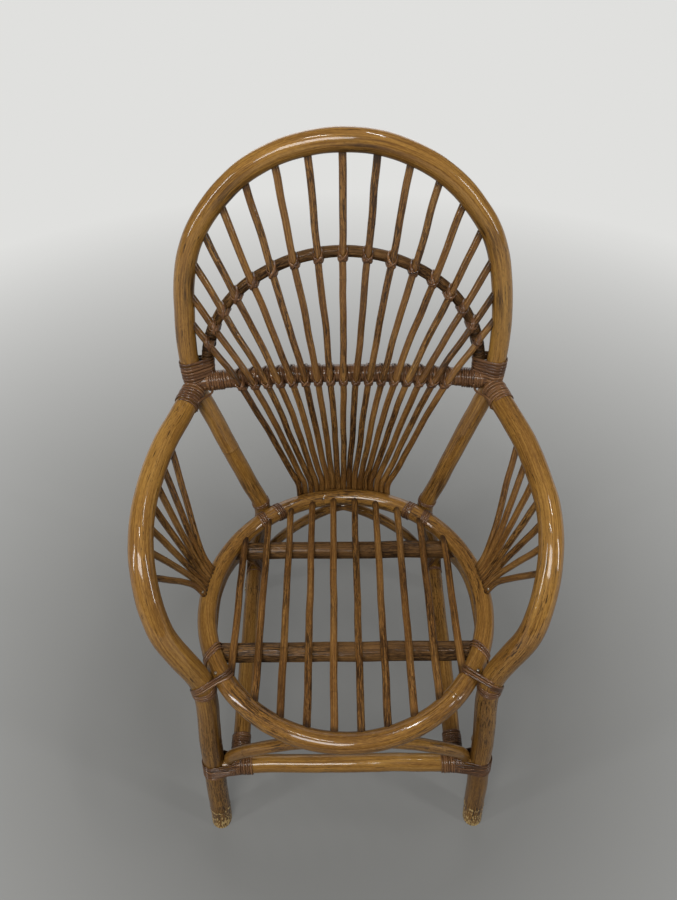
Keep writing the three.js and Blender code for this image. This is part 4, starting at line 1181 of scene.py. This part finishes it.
def add_light(name, place, target, size, power, colour=(1.0, 1.0, 1.0)):
    lamp = bpy.data.lights.new(name, "AREA")
    lamp.shape = "RECTANGLE"
    lamp.size, lamp.size_y = size
    lamp.energy = power
    lamp.color = colour
    holder = bpy.data.objects.new(name, lamp)
    holder.location = place
    holder.visible_camera = False
    holder.rotation_euler = (Vector(target) - Vector(place)).to_track_quat("-Z", "Y").to_euler()
    scene.collection.objects.link(holder)


add_light("key_box", (-0.4, -1.4, 2.2), (0, 0, 0.45), (1.0, 0.7), 33, WARM)
for name, sign in SIDES.items():
    add_light("side_" + name, (sign * 1.78, -0.78, 1.5), (0, 0.1, 0.7), (0.16, 1.1), 14, COOL)
add_light("strip_near", (-0.35, -0.35, 2.5), (0, 0, 0.4), (0.5, 0.06), 6)
add_light("strip_far", (0.45, 0.25, 2.5), (0, 0, 0.4), (0.5, 0.06), 6)
add_light("back_box", (0, 2.4, 1.4), (0, 0, 0.5), (2.4, 1.6), 26)

world = bpy.data.worlds.new("studio")
world.use_nodes = True
background = world.node_tree.nodes["Background"].inputs
background["Color"].default_value = (0.86, 0.88, 0.90, 1)
background["Strength"].default_value = 0.13
scene.world = world
scene.view_settings.view_transform = "Standard"

# Floor

floor_mesh = bpy.data.meshes.new("floor")
corners = [(FLOOR_REACH * x, FLOOR_REACH * y, 0) for x, y in ((-1, -1), (1, -1), (1, 1), (-1, 1))]
floor_mesh.from_pydata(corners, [], [[0, 1, 2, 3]])
floor = bpy.data.objects.new("floor", floor_mesh)
f = Finish("pale_floor")
position = f.add("NewGeometry").outputs["Position"]
distance = f.add("VectorMath", {0: position}, operation="LENGTH").outputs["Value"]
# Painted shade: the floor is darker near the chair, a pool of shade round it, and grows pale beyond about
# two metres
floor_tint_with_shade_pool = f.mix(f.spread(distance, 0.4, 2.2), srgb(0x787876), srgb(0xE0E0DE))
dull = f.add("BsdfDiffuse", {"Color": srgb(0x3C3C3A)})
matt = f.add("BsdfDiffuse", {"Color": floor_tint_with_shade_pool})
glow = f.add("Emission", {"Color": floor_tint_with_shade_pool, "Strength": 1.0})
glowing = f.spread(distance, 0.6, 2.0, 0.45, 1.0)
shown = f.add("MixShader", {0: glowing, 1: matt.outputs[0], 2: glow.outputs[0]})
ray = f.add("LightPath").outputs
mirrored_ray = f.maths("MAXIMUM", ray["Is Glossy Ray"], ray["Is Transmission Ray"])
seen = f.maths("MAXIMUM", ray["Is Camera Ray"], mirrored_ray)
both = f.add("MixShader", {0: seen, 1: dull.outputs[0], 2: shown.outputs[0]})
f.add("OutputMaterial", {"Surface": both.outputs[0]})
floor_mesh.materials.append(f.material)
scene.collection.objects.link(floor)
